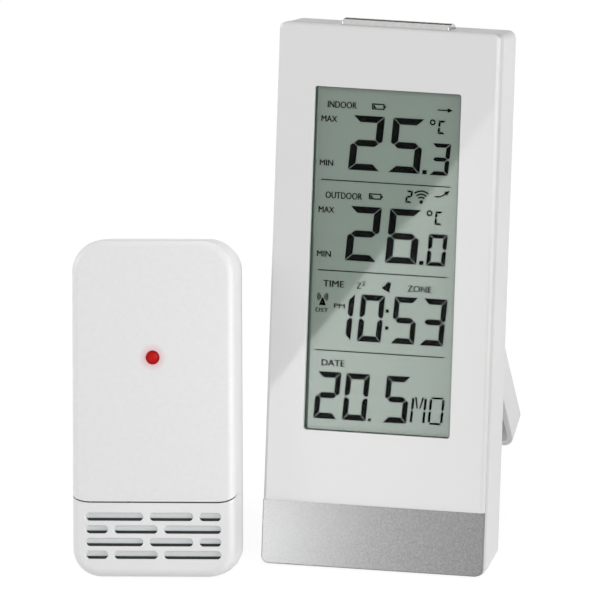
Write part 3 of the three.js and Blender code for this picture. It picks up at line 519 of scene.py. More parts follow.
class Finish(Nodes):
    """A material's nodes."""

    def __init__(self, name):
        self.material = bpy.data.materials.new(name)
        self.material.use_nodes = True
        super().__init__(self.material.node_tree)
        self.shader = self.tree.nodes["Principled BSDF"]
        self.output = self.tree.nodes["Material Output"]

    def set(self, values):
        """Feeds the shader's sockets by name, and gives the material."""
        for key, value in values.items():
            self.feed(self.shader.inputs[key], value)
        return self.material

    def place(self):
        return self.add("ShaderNodeTexCoord").outputs["Object"]

    def from_lamp(self):
        """The distance from the middle of the sensor's lamp."""
        return self.vector_math("DISTANCE", self.place(), SENSOR.at(LAMP_X, 0, LAMP_Z))

    def noise(self, scale, detail=3.0, roughness=0.5):
        inputs = {"Vector": self.place(), "Scale": scale, "Detail": detail, "Roughness": roughness}
        return self.add("ShaderNodeTexNoise", inputs).outputs["Fac"]

    def blend(self, share, first, second):
        node = self.add("ShaderNodeMix", data_type="RGBA")
        for name, kind, value in (("A", "RGBA", first), ("B", "RGBA", second), ("Factor", "VALUE", share)):
            self.feed(next(s for s in node.inputs if s.name == name and s.type == kind), value)
        return next(s for s in node.outputs if s.type == "RGBA")

    def tint(self, source, colour, low, high):
        """A colour shaded between two factors by a noise."""
        return self.blend(self.ramp(source, 0, 1), shade(colour, low), shade(colour, high))

    def bump(self, source, distance):
        normal = self.add("ShaderNodeBump", {"Distance": distance, "Height": source}).outputs["Normal"]
        self.feed(self.shader.inputs["Normal"], normal)


def shade(colour, factor):
    return tuple(min(1.0, channel * factor) for channel in colour)


GRAIN = 0.012 * MM


def moulded(name, colour, roughness):
    """Moulded plastic: a faint flow mottle in the colour and a fine spark-eroded grain."""
    finish = Finish(name)
    fine = finish.noise(2600, detail=4, roughness=0.6)
    finish.bump(fine, GRAIN)
    return finish.set({
        "Base Color": finish.tint(finish.noise(38, detail=2), colour, 0.98, 1.02),
        "Roughness": finish.ramp(fine, roughness - 0.05, roughness + 0.05),
    })


def gloss(name, colour):
    """Polished moulding: mirror smooth, with a very slow waviness."""
    finish = Finish(name)
    flow = finish.noise(22, detail=1)
    return finish.set({"Base Color": finish.tint(flow, colour, 0.99, 1.01), "Roughness": 0.022, "IOR": 1.72})


def clear_pane(name):
    """Clear acrylic: straight through, with a faint mirror image on its outer face."""
    finish = Finish(name)
    finish.tree.nodes.remove(finish.shader)
    clear = finish.add("ShaderNodeBsdfTransparent", {"Color": (0.985, 1.0, 0.99)})
    haze = finish.ramp(finish.noise(300, detail=2), 0.0, 0.012)
    mirror = finish.add("ShaderNodeBsdfGlossy", {"Roughness": haze})
    bounce = finish.add("ShaderNodeFresnel", {"IOR": 1.16}).outputs["Fac"]
    outside = finish.math("SUBTRACT", 1, finish.add("ShaderNodeNewGeometry").outputs["Backfacing"])
    finish.mix(finish.output, finish.math("MULTIPLY", bounce, outside), clear, mirror)
    return finish.material


def blasted_metal(name, colour):
    """Sand-blasted silver: a speckle of tiny facets."""
    finish = Finish(name)
    speck = finish.noise(1500, detail=5, roughness=0.75)
    patch = finish.noise(320, detail=4, roughness=0.7)
    grain = finish.blend(finish.ramp(speck, 0, 1, 0.35, 0.65), shade(colour, 0.8), shade(colour, 1.2))
    finish.bump(speck, 0.02 * MM)
    return finish.set({
        "Base Color": finish.blend(finish.ramp(patch, 0, 0.12), grain, shade(colour, 0.8)),
        "Roughness": finish.ramp(speck, 0.34, 0.46),
        "Metallic": 1.0,
    })


def metal(name, colour, roughness):
    finish = Finish(name)
    wear = finish.noise(900, detail=4)
    return finish.set({
        "Base Color": finish.tint(wear, colour, 0.94, 1.04),
        "Roughness": finish.ramp(wear, roughness * 0.8, roughness * 1.25),
        "Metallic": 1.0,
    })


def printed_board(name):
    """Solder mask with a suggestion of copper tracks under it."""
    finish = Finish(name)
    track = finish.add("ShaderNodeTexBrick", {"Scale": 420, "Vector": finish.place()}).outputs["Fac"]
    return finish.set({
        "Base Color": finish.blend(track, (0.012, 0.10, 0.035), (0.03, 0.19, 0.075)), "Roughness": 0.35,
    })


def display_film(name, colour, edge_shade_colour, edge_shade_width):
    """The display's reflector: grey-green, finely grained, with painted shade that darkens it close to the
    window's edge, in place of the recess's shade.
    """
    finish = Finish(name)
    grain = finish.tint(finish.noise(1500), colour, 0.965, 1.035)
    place = finish.place()
    shade_nearness = []
    for row, low, high in ((0, -WINDOW.half, WINDOW.half), (2, WINDOW.bottom, WINDOW.top)):
        *direction, start = CONSOLE.inverse[row]
        along = finish.vector_math("DOT_PRODUCT", place, direction)
        off_centre = finish.math("ABSOLUTE", finish.math("ADD", along, start - (low + high) / 2))
        half = (high - low) / 2
        shade_nearness.append(finish.ramp(off_centre, 0, 1, half - edge_shade_width, half))
    # Painted shade: the base colour darkens towards the window's edge, where the recess would shade the film.
    edge = finish.math("POWER", finish.math("MAXIMUM", *shade_nearness), 2.2)
    return finish.set({
        "Base Color": finish.blend(edge, grain, edge_shade_colour), "Roughness": 0.025, "IOR": 1.9,
        "Specular IOR Level": 0.62,
    })


def ink_finish(name):
    """The display's dark segments, which take no light at all."""
    finish = Finish(name)
    depth = finish.ramp(finish.noise(60, detail=1), 0, 1)
    return finish.set({
        "Base Color": finish.blend(depth, (0.003, 0.0034, 0.0034), (0.005, 0.0055, 0.0055)),
        "Roughness": 0.7,
        "Specular IOR Level": 0.0,
    })


def red_lens(name):
    """A lit red lens: bright in the middle, deeper towards the rim."""
    finish = Finish(name)
    return finish.set({
        "Base Color": (0.36, 0.002, 0.002),
        "Emission Color": (1.0, 0.012, 0.01),
        "Emission Strength": finish.ramp(finish.from_lamp(), 0.32, 0.0, 0.0, LED.radius * MM),
        "Specular IOR Level": 0.12,
        "Roughness": 0.12,
    })


def glow_plastic(name, colour, roughness):
    """Sensor plastic with a painted red glow around the lens: the lamp's light is painted into the base colour."""
    finish = Finish(name)
    plain = finish.tint(finish.noise(700), colour, 0.985, 1.015)
    radius = LED.radius * MM
    # Painted light: the base colour turns red close to the lens, in place of the lamp's light in the plastic.
    share = finish.ramp(finish.from_lamp(), 0.55, 0.0, radius * 1.02, radius * 2.1)
    finish.bump(finish.noise(2600, detail=2), GRAIN)
    return finish.set({"Base Color": finish.blend(share, plain, (0.78, 0.36, 0.40)), "Roughness": roughness})


WHITE = (0.80, 0.80, 0.80)
DARK = (0.03, 0.03, 0.033)

PLASTICS = {
    "white_plastic": (WHITE, 0.38),
    "sensor_plastic": (WHITE, 0.34),
    "blade_plastic": ((0.78, 0.815, 0.82), 0.4),
    "frame_plastic": ((0.70, 0.69, 0.68), 0.4),
    "diffuser": ((0.75, 0.78, 0.75), 0.3),
    "rubber": ((0.02, 0.02, 0.022), 0.75),
    "ferrite": (DARK, 0.55),
    "dark_plastic": (DARK, 0.45),
    "cell_jacket": ((0.10, 0.11, 0.12), 0.3),
    "button_plastic": ((0.66, 0.66, 0.67), 0.45),
}

METALS = {
    "copper": ((0.62, 0.25, 0.11), 0.35),
    "contact_metal": ((0.66, 0.64, 0.58), 0.3),
    "steel": ((0.62, 0.62, 0.61), 0.32),
    "chrome": ((0.58, 0.575, 0.57), 0.16),
}

MATERIALS = {
    **{name: moulded(name, *look) for name, look in PLASTICS.items()},
    **{name: metal(name, *look) for name, look in METALS.items()},
    "face_plastic": gloss("face_plastic", (0.745, 0.742, 0.742)),
    "glow_plastic": glow_plastic("glow_plastic", WHITE, 0.34),
    "display_glass": clear_pane("display_glass"),
    "silver": blasted_metal("silver", (0.21, 0.21, 0.212)),
    "board": printed_board("board"),
    # The second colour is painted shade along the window's edge.
    "lcd": display_film("lcd", (0.147, 0.195, 0.157), (0.05, 0.09, 0.065), 2.6),
    "ink": ink_finish("ink"),
    "red_lens": red_lens("red_lens"),
}


def finish_cad_nodes():
    """Every CAD node takes the finish of its material slot in the record."""
    for subpart in frame["record"]["subparts"]:
        node = NODES[subpart["node"]]
        node.data.materials.clear()
        node.data.materials.append(MATERIALS[subpart["material_slot"]])


# Screws, cells and battery covers: the same on both units


def screw(name, unit, seat):
    """A pan-head screw with a cross recess, where the frame has it."""
    space = unit.extent(name)
    x, z = unit.spot(name)
    top = seat + GAP + SCREW.head_height
    head, crown = SCREW.head, SCREW.crown
    profile = [
        (SCREW.shank, space.y0), (SCREW.shank, seat + GAP), (head, seat + GAP), (head, top - crown),
        (head * 0.93, top - crown * 0.5), (head * 0.75, top - crown * 0.15), (head * 0.4, top),
    ]
    body = turned(profile, (x, 0, z))
    half, reach = SCREW.cross / 2, SCREW.cross_reach
    deep = top - SCREW.cross_depth
    arms = join(
        block(x - reach, x + reach, deep, top + 1, z - half, z + half),
        block(x - half, x + half, deep, top + 1, z - reach, z + reach),
    )
    dress(cut(body, arms), f"{name}_head", unit, "steel", [name])


def make_screws():
    for index in range(1, 5):
        screw(f"case_screw_{index}", CONSOLE, CASE_SCREW.seat)
        screw(f"sensor_screw_{index}", SENSOR, SENSOR_SCREW.seat)


def cell(name, unit, axis):
    """A battery cell: a rounded can with its plus button."""
    space = unit.extent(name)
    low, high = (space.x0, space.x1) if axis == "x" else (space.z0, space.z1)
    nub, button, bevel = CELL.nub, CELL.nub_radius, CELL.bevel
    can = [(CELL.radius - inwards, deep) for inwards, deep in quarter(CELL.edge, CELL.edge, 5)]
    length = high - low
    profile = can + [(radius, length - nub - deep) for radius, deep in reversed(can)]
    profile += [(button, length - nub), (button, length - bevel), (button - bevel, length)]
    plus_high = cell_faces_high(unit, name, axis)
    places = [(radius, low + up if plus_high else high - up) for radius, up in profile]
    centre = [(space.x0 + space.x1) / 2, (space.y0 + space.y1) / 2, (space.z0 + space.z1) / 2]
    centre["xyz".index(axis)] = 0
    body = turned(places, centre, axis)
    dress(body, f"{name}_can", unit, "cell_jacket", [name])


def cell_faces_high(unit, name, axis):
    """Whether a cell's plus button is at its end with the greater x or z."""
    index = "xyz".index(axis)
    points = unit.points(name)
    middle = [(min(values) + max(values)) / 2 for values in zip(*points)]
    top = max(point[index] for point in points)
    near = 0.05
    ends = [point for point in points if top - point[index] < near]
    across = [i for i in range(3) if i != index]
    widest = max(math.hypot(*(point[i] - middle[i] for i in across)) for point in ends)
    return widest < CELL.nub_radius + 0.5


def make_cells():
    for index in (1, 2):
        cell(f"battery_{index}", CONSOLE, "x")
        cell(f"sensor_battery_{index}", SENSOR, "z")


def battery_cover(name, unit, corner):
    """A lid with a soft rim, a ridged thumb patch and an arrow that shows which way it opens."""
    lid = unit.extent(name)
    face = lid.y1
    outline = rounded((lid.x0, lid.x1, lid.z0, lid.z1), corner)
    body = stack(outline, slab_levels(lid.y0, face, back=LID.edge, rounds=4))
    centre = (lid.x0 + lid.x1) / 2
    half, patch = LID.groove_half, lid.z0 + LID.thumb
    ridges = []
    for row in range(3):
        z = patch + row * LID.groove_step
        outline = rounded((centre - half, centre + half, z, z + LID.groove), LID.groove_corner, steps=5)
        ridges.append(stack(outline, mouth_levels(face - LID.groove_depth, face, LID.groove_lip, 3)))
    foot = patch + LID.arrow_up

    def arrow(grow=0.0):
        slant = 1.6 * grow
        side, low, high = LID.arrow_half + slant, foot - slant, foot + LID.arrow_height + grow
        return [(centre - side, high), (centre, low), (centre + side, high)]

    sign = stack(arrow, mouth_levels(face - LID.arrow_depth, face, LID.arrow_lip, 3))
    cut(body, merged([*ridges, sign]))
    dress(body, f"{name}_lid", unit, "white_plastic", [name], body=name)


# Console


def make_front_plate():
    """The glossy face: one moulding with a round edge, and the display's opening."""
    plate = CONSOLE.extent("front_plate")
    body = stack(
        rounded((plate.x0, plate.x1, 0, plate.z1), PLATE.corner, steps=14),
        slab_levels(plate.y0, plate.y1, front=PLATE.edge, rounds=12),
        low=CONSOLE.extent("silver_trim").z1 + TRIM.play,
    )
    half, bottom, top, flange = WINDOW.half, WINDOW.bottom, WINDOW.top, WINDOW.flange + GAP
    opening = stack(
        rounded((WINDOW.cover - half, half, bottom, top), WINDOW.corner),
        mouth_levels(plate.y1 + 1, plate.y0, WINDOW.lip),
    )
    rebate_front = plate.y1 - WINDOW.flange_back - GAP
    rebate = wide(half + flange, rebate_front, plate.y1 + 1, bottom - flange, top + flange)
    cut(body, opening, rebate)
    dress(body, "glossy_face", CONSOLE, "face_plastic", ["front_plate"])


def make_trim():
    trim = CONSOLE.extent("silver_trim")
    body = stack(
        rounded((trim.x0, trim.x1, 0, CONSOLE.extent("front_plate").z1), TRIM.corner, steps=14),
        slab_levels(trim.y0, trim.y1, front=TRIM.edge, rounds=5),
        high=trim.z1,
    )
    dress(body, "foot_trim", CONSOLE, "silver", ["silver_trim"])


def make_snooze_bar():
    """The domed bar along the top, with its ends rounded over and a flange that keeps it in."""
    half, front, back, corner = SNOOZE.half, SNOOZE.front, SNOOZE.back, SNOOZE.corner
    ceiling = CONSOLE.extent("rear_case").z1 - CASE.wall
    edge = ceiling + CASE.wall + SNOOZE.face
    crown = SNOOZE.crown - SNOOZE.face
    middle = (front + back) / 2
    steps = 16

    def section(inwards):
        """The bar's outline in y and z, drawn in near its ends."""
        y0, y1 = front + inwards, back - inwards
        fillet = SNOOZE.fillet
        points = [(y0, ceiling - 1), (y1, ceiling - 1)]
        for step in range(steps + 1):
            y = y1 + (y0 - y1) * step / steps
            rise = crown * (1 - ((y - middle) / (back - middle)) ** 2)
            near = min(y - y0, y1 - y) / fillet
            drop = fillet * (1 - math.sqrt(1 - (1 - min(near, 1)) ** 2))
            points.append((y, edge + rise - drop - inwards))
        return points

    ends = [(deep - half, inwards) for inwards, deep in quarter(corner, corner, 6)]
    ends += [(-x, inwards) for x, inwards in reversed(ends)]
    rings = [[(x, y, z) for y, z in section(inwards)] for x, inwards in ends]
    top, side = ceiling - GAP, SNOOZE.flange_side
    flange = wide(half + side, front - SNOOZE.flange_front, back + side, top - SNOOZE.flange, top)
    body = join(loft(rings), flange)
    dress(body, "snooze_key", CONSOLE, "chrome", ["snooze_bar"], body="snooze_bar", angle=50)


def bay_centre(unit, prefix):
    """The height of the middle of a battery bay, between its two cells."""
    first, second = unit.extent(f"{prefix}battery_1"), unit.extent(f"{prefix}battery_2")
    return (first.z0 + first.z1 + second.z0 + second.z1) / 4


def screw_holes(places, front, seat, face):
    bores = posts(places, SCREW.hole, front - 1, seat + 1, 24)
    wells = merged([
        stack(circle(x, z, SCREW.counterbore), mouth_levels(seat, face, SCREW.lip, 4)) for x, z in places
    ])
    return [bores, wells]


BUTTONS = ["button_mode", "button_alarm", "button_memory", "button_up", "button_down", "button_channel"]


def make_rear_case():
    """The rear shell: leg recess with its hinge bosses, battery bay, button holes, vents and screw wells."""
    case = CONSOLE.extent("rear_case")
    wall = CASE.wall
    back, inner = case.y1, case.y1 - wall
    body = stack(
        rounded((case.x0, case.x1, 0, case.z1), CASE.corner, steps=14),
        slab_levels(case.y0, back, front=CASE.front_edge, back=CASE.back_edge, rounds=10),
    )
    cavity = stack(
        rounded((case.x0 + wall, case.x1 - wall, wall, case.z1 - wall), CASE.inner_corner),
        [(0, case.y0 - 1), (0, inner)],
    )
    cut(body, cut(cavity, under_table(CONSOLE, wall)), under_table(CONSOLE))

    leg = LEG.extent("stand_leg")
    pin = CONSOLE.pin("leg_fold")
    half = leg.x1 + LEG_SHAPE.room
    bottom, top = pin.z - LEG_SHAPE.reach - RECESS.below, pin.z + RECESS.above
    deep = back - (leg.y1 - leg.y0) - RECESS.behind
    skin = RECESS.wall
    boss_end = LEG_SHAPE.pin_half + LEG_SHAPE.boss_overlap
    root = inner + BITE
    inward = wide(FAR, 0, root, 0, FAR)
    bosses = [
        bar("x", (0, pin.y, pin.z), LEG_SHAPE.boss, *sorted((side * boss_end, side * half)))
        for side in (-1, 1)
    ]
    middle = bay_centre(CONSOLE, "")
    bay_half, lip = BAY.length / 2, BAY.rebate_lip
    low, high = middle - BAY.width / 2, middle + BAY.width / 2
    walls = [
        wide(half + skin, deep - 1, root, bottom - skin, top + skin),
        wide(bay_half + skin, BAY.front, root, low - lip - BAY.foot_skin, high + lip + skin),
    ]
    screw_posts = posts(CASE_SCREWS, SCREW.post, CASE_SCREW.front, root)
    join(body, combine(merged(bosses), "INTERSECT", inward), *walls, screw_posts)

    outline = rounded((-half, half, bottom, top), RECESS.corner, steps=4)
    leg_pocket = stack(outline, mouth_levels(deep, back, RECESS.lip))
    reach = LEG_SHAPE.pin_half + GAP
    pin_bore = bar("x", (0, pin.y, pin.z), LEG_SHAPE.pin_radius + GAP, -reach, reach)
    pocket = wide(bay_half, BAY.front + BAY.floor, back + 1, low, high)
    end = BAY.rebate_end
    outline = rounded((-bay_half - end, bay_half + end, low - lip, high + lip), BAY.rebate_corner, steps=5)
    rebate = stack(outline, mouth_levels(BAY.rebate, back, *RIM))
    holes = [
        stack(circle(x, z, BUTTON.radius + GAP), mouth_levels(inner - 1, back, BUTTON.lip, 4))
        for x, z in [CONSOLE.spot(name) for name in BUTTONS]
    ]
    for z in VENTS.heights:
        tall = VENTS.half
        outline = rounded((VENTS.left, VENTS.right, z - tall, z + tall), tall - 0.01, steps=6)
        holes.append(stack(outline, mouth_levels(inner - 1, back, *RIM)))
    key = (-SNOOZE.half, SNOOZE.half, SNOOZE.front, SNOOZE.back)
    bar_slot = prism(rounded(key, SNOOZE.corner, steps=5)(GAP), case.z1 - 5, FAR, "z")
    cut(body, leg_pocket, pin_bore, pocket, rebate, merged(holes), bar_slot)
    cut(body, *screw_holes(CASE_SCREWS, CASE_SCREW.front, CASE_SCREW.seat, back))
    dress(body, "rear_shell", CONSOLE, "white_plastic", ["rear_case"])


def make_buttons():
    """Six round keys, dished for a fingertip."""
    face = CONSOLE.extent("rear_case").y1
    inner = face - CASE.wall
    radius, edge, proud = BUTTON.radius, BUTTON.edge, BUTTON.proud
    for name in BUTTONS:
        x, z = CONSOLE.spot(name)
        stem, flange, under = BUTTON.stem, BUTTON.flange, inner - BUTTON.flange_back
        profile = [(stem, inner - BUTTON.reach), (stem, under), (flange, under), (flange, inner - GAP)]
        profile.append((radius, inner - GAP))
        rim = reversed(quarter(edge, edge, 6))
        profile += [(radius - inwards, face + proud - deep) for inwards, deep in rim]
        bowl, steps = radius - edge - BUTTON.rim, 7
        for step in range(steps):
            r = bowl * (1 - step / steps)
            profile.append((r, face + proud - BUTTON.dish * (1 - (r / bowl) ** 2)))
        body = turned(profile, (x, 0, z), sides=40)
        dress(body, f"{name}_key", CONSOLE, "button_plastic", [name], body=name)


def make_leg():
    """The fold-out leg: a deep tray with a round foot, a hinge barrel and two stiffening ribs."""
    leg = LEG.extent("stand_leg")
    shape = LEG_SHAPE
    skin, reach, outer, inner = shape.skin, shape.reach, leg.y1, leg.y0
    body = stack(
        rounded((leg.x0, leg.x1, -reach, outer), shape.foot_corner, shape.top_corner, steps=12),
        slab_levels(inner, outer, front=shape.front_edge, back=shape.back_edge, rounds=6),
    )
    past_foot, flare = -reach - 9, 2
    side = [(outer + 1, past_foot), (outer + 1, 0)]
    side += arc(0, 0, outer, 0, 180, 24)
    side += [(inner, -shape.taper), (inner - 1, -shape.taper - flare), (inner - 1, past_foot)]
    combine(body, "INTERSECT", prism(side, -FAR, FAR, "x"))
    room = (leg.x0 + skin, leg.x1 - skin, skin - reach, -outer - 1)
    tray = rounded(room, shape.foot_corner - skin, shape.top_corner, steps=8)
    cut(body, stack(tray, mouth_levels(outer - skin, inner, shape.front_edge, 4)))
    thick, crest = shape.rib_half, outer - shape.rib_height
    ribs = [
        block(x - thick, x + thick, crest, outer - 1, 1 - reach, -outer) for x in (-shape.rib, shape.rib)
    ]
    join(body, merged(ribs))
    bore = bar("x", (0, 0, 0), shape.pin_radius + GAP, -FAR, FAR)
    cut(body, bore, under_table(LEG))
    dress(body, "leg_shell", LEG, "white_plastic", ["stand_leg"])


# Sensor


def seam_points(half, shift):
    """The seam from left to right between two sides: level, with its ends turned up as a quarter ellipse."""
    rise, run = SENSOR_SHAPE.seam_rise, SENSOR_SHAPE.seam_run
    full, steps = COVER.x1, 10
    last = math.asin(min(1.0, 1 - (full - half) / run))
    right = []
    for step in range(steps + 1):
        angle = last * step / steps
        x = full - run * (1 - math.sin(angle))
        right.append((x, SENSOR_SHAPE.seam + shift + rise * (1 - math.cos(angle))))
    return [(-x, z) for x, z in reversed(right)] + right


def sensor_levels():
    """Depths down the front shell, close together over its round edges."""
    depths = quarter(0, SENSOR_SHAPE.edge_depth, 14) + quarter(0, SENSOR_SHAPE.seam_lip, 5)
    return sorted(set(round(deep, 5) for _, deep in depths)) + [COVER.y1]


def front_part(above):
    """The sensor's front above or below the seam, as a solid."""
    lip, play = SENSOR_SHAPE.seam_lip, SENSOR_SHAPE.seam_play
    rings = []
    for y in sensor_levels():
        inset = drawn_in(y, SENSOR_SHAPE.edge_depth, SENSOR_SHAPE.edge_inset)
        half = COVER.x1 - inset
        shift = play + drawn_in(y, lip, lip)
        if above:
            corner = SENSOR_SHAPE.top_corner - inset
            ring = seam_points(half, shift)
            start, z = 0, COVER.z1 - inset - corner
        else:
            corner = SENSOR_SHAPE.bottom_corner - inset
            ring = seam_points(half, -shift)[::-1]
            start, z = 180, inset + corner
        side = half - corner if above else corner - half
        for x, turn in ((side, start), (-side, start + 90)):
            ring += arc(x, z, corner, turn, turn + 90, 16)
        rings.append([(x, y, z) for x, z in ring])
    return loft(rings)


def sensor_outline(inset):
    box = (COVER.x0 + inset, COVER.x1 - inset, inset, COVER.z1 - inset)
    return rounded(box, SENSOR_SHAPE.bottom_corner - inset, SENSOR_SHAPE.top_corner - inset, steps=14)


def sensor_cavity():
    wall = SENSOR_SHAPE.wall
    space = stack(sensor_outline(wall), [(0, wall), (0, COVER.y1 + 1)])
    return cut(space, under_table(SENSOR, wall))


def screw_bosses(above):
    """Hollow posts behind the cover that take the case screws above or below the seam."""
    front, back, tip = SENSOR_SHAPE.wall - BITE, COVER.y1, SENSOR_SCREW.tip - GAP
    mine = [(x, z) for x, z in SENSOR_SCREWS if (z > SENSOR_SHAPE.seam) == above]
    bosses = posts(mine, SENSOR_SCREW.boss, front, back, 24)
    return cut(bosses, posts(mine, SCREW.hole, tip, back + 1, 20))


def make_sensor_cover():
    body = front_part(True)
    cut(body, sensor_cavity())
    join(body, screw_bosses(True))
    hole = circle(LAMP_X, LAMP_Z, LED.radius + LED.play)
    cut(body, stack(hole, mouth_levels(SENSOR_SHAPE.wall + 1, 0, LED.lip)))
    dress(body, "sensor_face", SENSOR, "white_plastic", ["sensor_cover"], material="glow_plastic", angle=45)


def slot_cutters():
    """The vent slots: long, middle and short in a row, in turn from the left and from the right."""
    lengths, spacing, height = SLOTS.lengths, SLOTS.spacing, SLOTS.height
    total = sum(lengths) + 2 * spacing
    slots = []
    for row, z in enumerate(SLOTS.rows):
        left = -total / 2
        for length in reversed(lengths) if row % 2 else lengths:
            box = (left, left + length, z - height / 2, z + height / 2)
            outline = rounded(box, height / 2 - 0.01, steps=8)
            slots.append(stack(outline, mouth_levels(SENSOR_SHAPE.wall + 1, 0, SLOTS.lip)))
            left += length + spacing
    return merged(slots), total / 2


def make_vent_cap():
    """The vented foot of the cover, with a rain blade behind each row of slots, and a dark sheet of painted shade
    behind them.
    """
    body = front_part(False)
    cut(body, sensor_cavity(), under_table(SENSOR))
    join(body, screw_bosses(False))
    slots, half = slot_cutters()
    cut(body, slots)
    front, back, thick = LOUVRE.front, LOUVRE.back, LOUVRE.thickness
    blades = []
    for z in SLOTS.rows:
        top = z + SLOTS.height / 2
        low, root = top - LOUVRE.drop, top + LOUVRE.root
        outline = [
            (front, root), (front, top), (back, low), (back + thick * 0.5, low - LOUVRE.tip),
            (back + thick, low), (back + thick, root),
        ]
        blades.append(prism(outline, -half, half, "x"))
    # Painted shade: a dark sheet behind the slots stands in for the shade inside the vented foot.
    screen, play = LOUVRE.screen, LOUVRE.screen_play
    foot, head = SLOTS.rows[-1] - SLOTS.margin, SLOTS.rows[0] + SLOTS.margin
    cut(body, wide(half, SENSOR_SHAPE.wall - LOUVRE.screen_seat, screen, foot, head))
    skin = LOUVRE.screen_thickness
    shade_sheet_plate = wide(half - play, screen - skin, screen, foot + play, head - play)
    dress(merged(blades), "rain_blades", SENSOR, "white_plastic", material="blade_plastic")
    dress(shade_sheet_plate, "vent_shade_sheet", SENSOR, "dark_plastic")
    dress(
        body, "sensor_vent_foot", SENSOR, "white_plastic", ["sensor_vent_cap"],
        material="sensor_plastic", angle=45,
    )


def make_sensor_back():
    """The sensor's rear shell: battery well, stand recess, switch openings and screw wells."""
    back = SENSOR.extent("sensor_back_case").y1
    front = COVER.y1 + GAP
    inner = back - SENSOR_SHAPE.case_wall
    inset, wall = SENSOR_SHAPE.case_inset, SENSOR_SHAPE.wall
    body = stack(sensor_outline(inset), slab_levels(front, back, back=CASE.back_edge, rounds=10))
    cavity = stack(sensor_outline(inset + SENSOR_SHAPE.case_wall), [(0, front - 1), (0, inner)])
    cut(body, cut(cavity, under_table(SENSOR, wall)))
    lip_out, lip_in = (wall + depth for depth in SENSOR_SHAPE.lip)
    lip = stack(sensor_outline(lip_out), [(0, COVER.y1 - SENSOR_SHAPE.lip_reach), (0, front + BITE)])
    rim_outline = sensor_outline(inset + SENSOR_SHAPE.rim_inset)
    rim = stack(rim_outline, [(0, front), (0, front + SENSOR_SHAPE.rim_depth)])
    boss_room = posts(SENSOR_SCREWS, SENSOR_SCREW.boss + GAP, 0, front, 24)
    for edge, foot, others in ((lip, wall + GAP, [boss_room]), (rim, wall - BITE, [])):
        inside = stack(sensor_outline(lip_in), [(0, 0), (0, FAR)])
        cut(edge, inside, under_table(SENSOR, foot), *others)

    pin = SENSOR.pin("sensor_stand_fold")
    half, barrel, play = STAND.half + STAND.room, STAND.barrel, STAND.play
    foot, head = pin.z - STAND.reach - STAND.below, pin.z + barrel + play
    floor = back - STAND.thickness - play
    middle = bay_centre(SENSOR, "sensor_")
    bay_half = BAY.width / 2
    low, high = middle - BAY.length / 2, middle + BAY.length / 2
    cover, lid = SENSOR_COVER, SENSOR_COVER.half
    side, root, end = half + STAND.cheek, inner + BITE, BAY.end_skin
    top, under = head + STAND.head_skin, pin.z - barrel
    join(
        body, lip, rim,
        wide(side, floor - STAND.skin, root, foot - STAND.foot_skin, top),
        wide(side, pin.y - barrel - STAND.barrel_skin, root, under - STAND.barrel_foot, top),
        wide(bay_half + BAY.skin, BAY.front, root, low - end, high + end),
        wide(lid + cover.skin, cover.shelf, root, low - cover.foot_skin, high + end),
        posts(SENSOR_SCREWS, SENSOR_SCREW.post, SENSOR_SCREW.front, root),
    )
    outline = rounded((-half, half, foot, head), RECESS.corner, steps=4)
    stand_pocket = stack(outline, mouth_levels(floor, back, play))
    barrel_room = wide(half, pin.y - barrel - play, back + 1, under - STAND.barrel_below, head)
    reach = half + STAND.pin_reach
    pin_bore = bar("x", (0, pin.y, pin.z), STAND.pin_radius + GAP, -reach, reach, 24)
    pocket = wide(bay_half, BAY.front + BAY.floor, back + 1, low, high)
    shelf = cover.shelf + cover.floor
    well = wide(lid - cover.ledge, shelf, back + 1, low + cover.foot_ledge, high - cover.top_ledge)
    box = (-lid - GAP, lid + GAP, low - cover.below, high + cover.above)
    rebate = stack(rounded(box, *cover.rebate_corners, steps=6), mouth_levels(BAY.rebate, back, *RIM))
    slide, press = SENSOR.extent("channel_switch"), SENSOR.extent("transmit_button")
    travel = SWITCH_TRAVEL + GAP
    slide_slot = block(slide.x0 - GAP, slide.x1 + GAP, 0, FAR, slide.z0 - travel, slide.z1 + travel)
    x, z = SENSOR.spot("transmit_button")
    press_hole = bar("y", (x, 0, z), (press.x1 - press.x0) / 2 + GAP, 0, FAR, 24)
    cut(body, stand_pocket, barrel_room, pin_bore, pocket, well, rebate, merged([slide_slot, press_hole]))
    cut(body, *screw_holes(SENSOR_SCREWS, SENSOR_SCREW.front, SENSOR_SCREW.seat, back))
    cut(body, under_table(SENSOR))
    dress(
        body, "sensor_rear_shell", SENSOR, "white_plastic", ["sensor_back_case"],
        material="sensor_plastic", angle=45,
    )


def make_sensor_stand():
    """The sensor's fold-out stand: a thin plate with round corners on a hinge barrel."""
    outer = SENSOR_STAND.extent("sensor_stand").y1
    inner = outer - STAND.thickness
    half = STAND.half
    outline = rounded((-half, half, -STAND.reach, 0), STAND.corner, STAND.top_corner)
    levels = slab_levels(inner, outer, front=STAND.front_edge, back=STAND.back_edge, rounds=5)
    body = stack(outline, levels)
    join(body, bar("x", (0, 0, 0), STAND.barrel, -half, half))
    cut(body, bar("x", (0, 0, 0), STAND.pin_radius + GAP, -FAR, FAR, 24), under_table(SENSOR_STAND))
    dress(
        body, "sensor_stand_leaf", SENSOR_STAND, "white_plastic", ["sensor_stand"], material="sensor_plastic",
    )


def make_led():
    """The domed red lens, with the flange that holds it behind the cover."""
    lens = SENSOR.extent("sensor_led")
    radius, flange, proud, wall = LED.radius, LED.flange, LED.proud, SENSOR_SHAPE.wall
    angles = [math.radians(9 * step) for step in range(1, 11)]
    profile = [(radius * math.sin(angle), -proud * math.cos(angle)) for angle in angles]
    profile += [(radius, wall + GAP), (flange, wall + GAP), (flange, lens.y1)]
    body = turned(profile, (LAMP_X, 0, LAMP_Z))
    dress(body, "sensor_lens", SENSOR, "red_lens", ["sensor_led"])


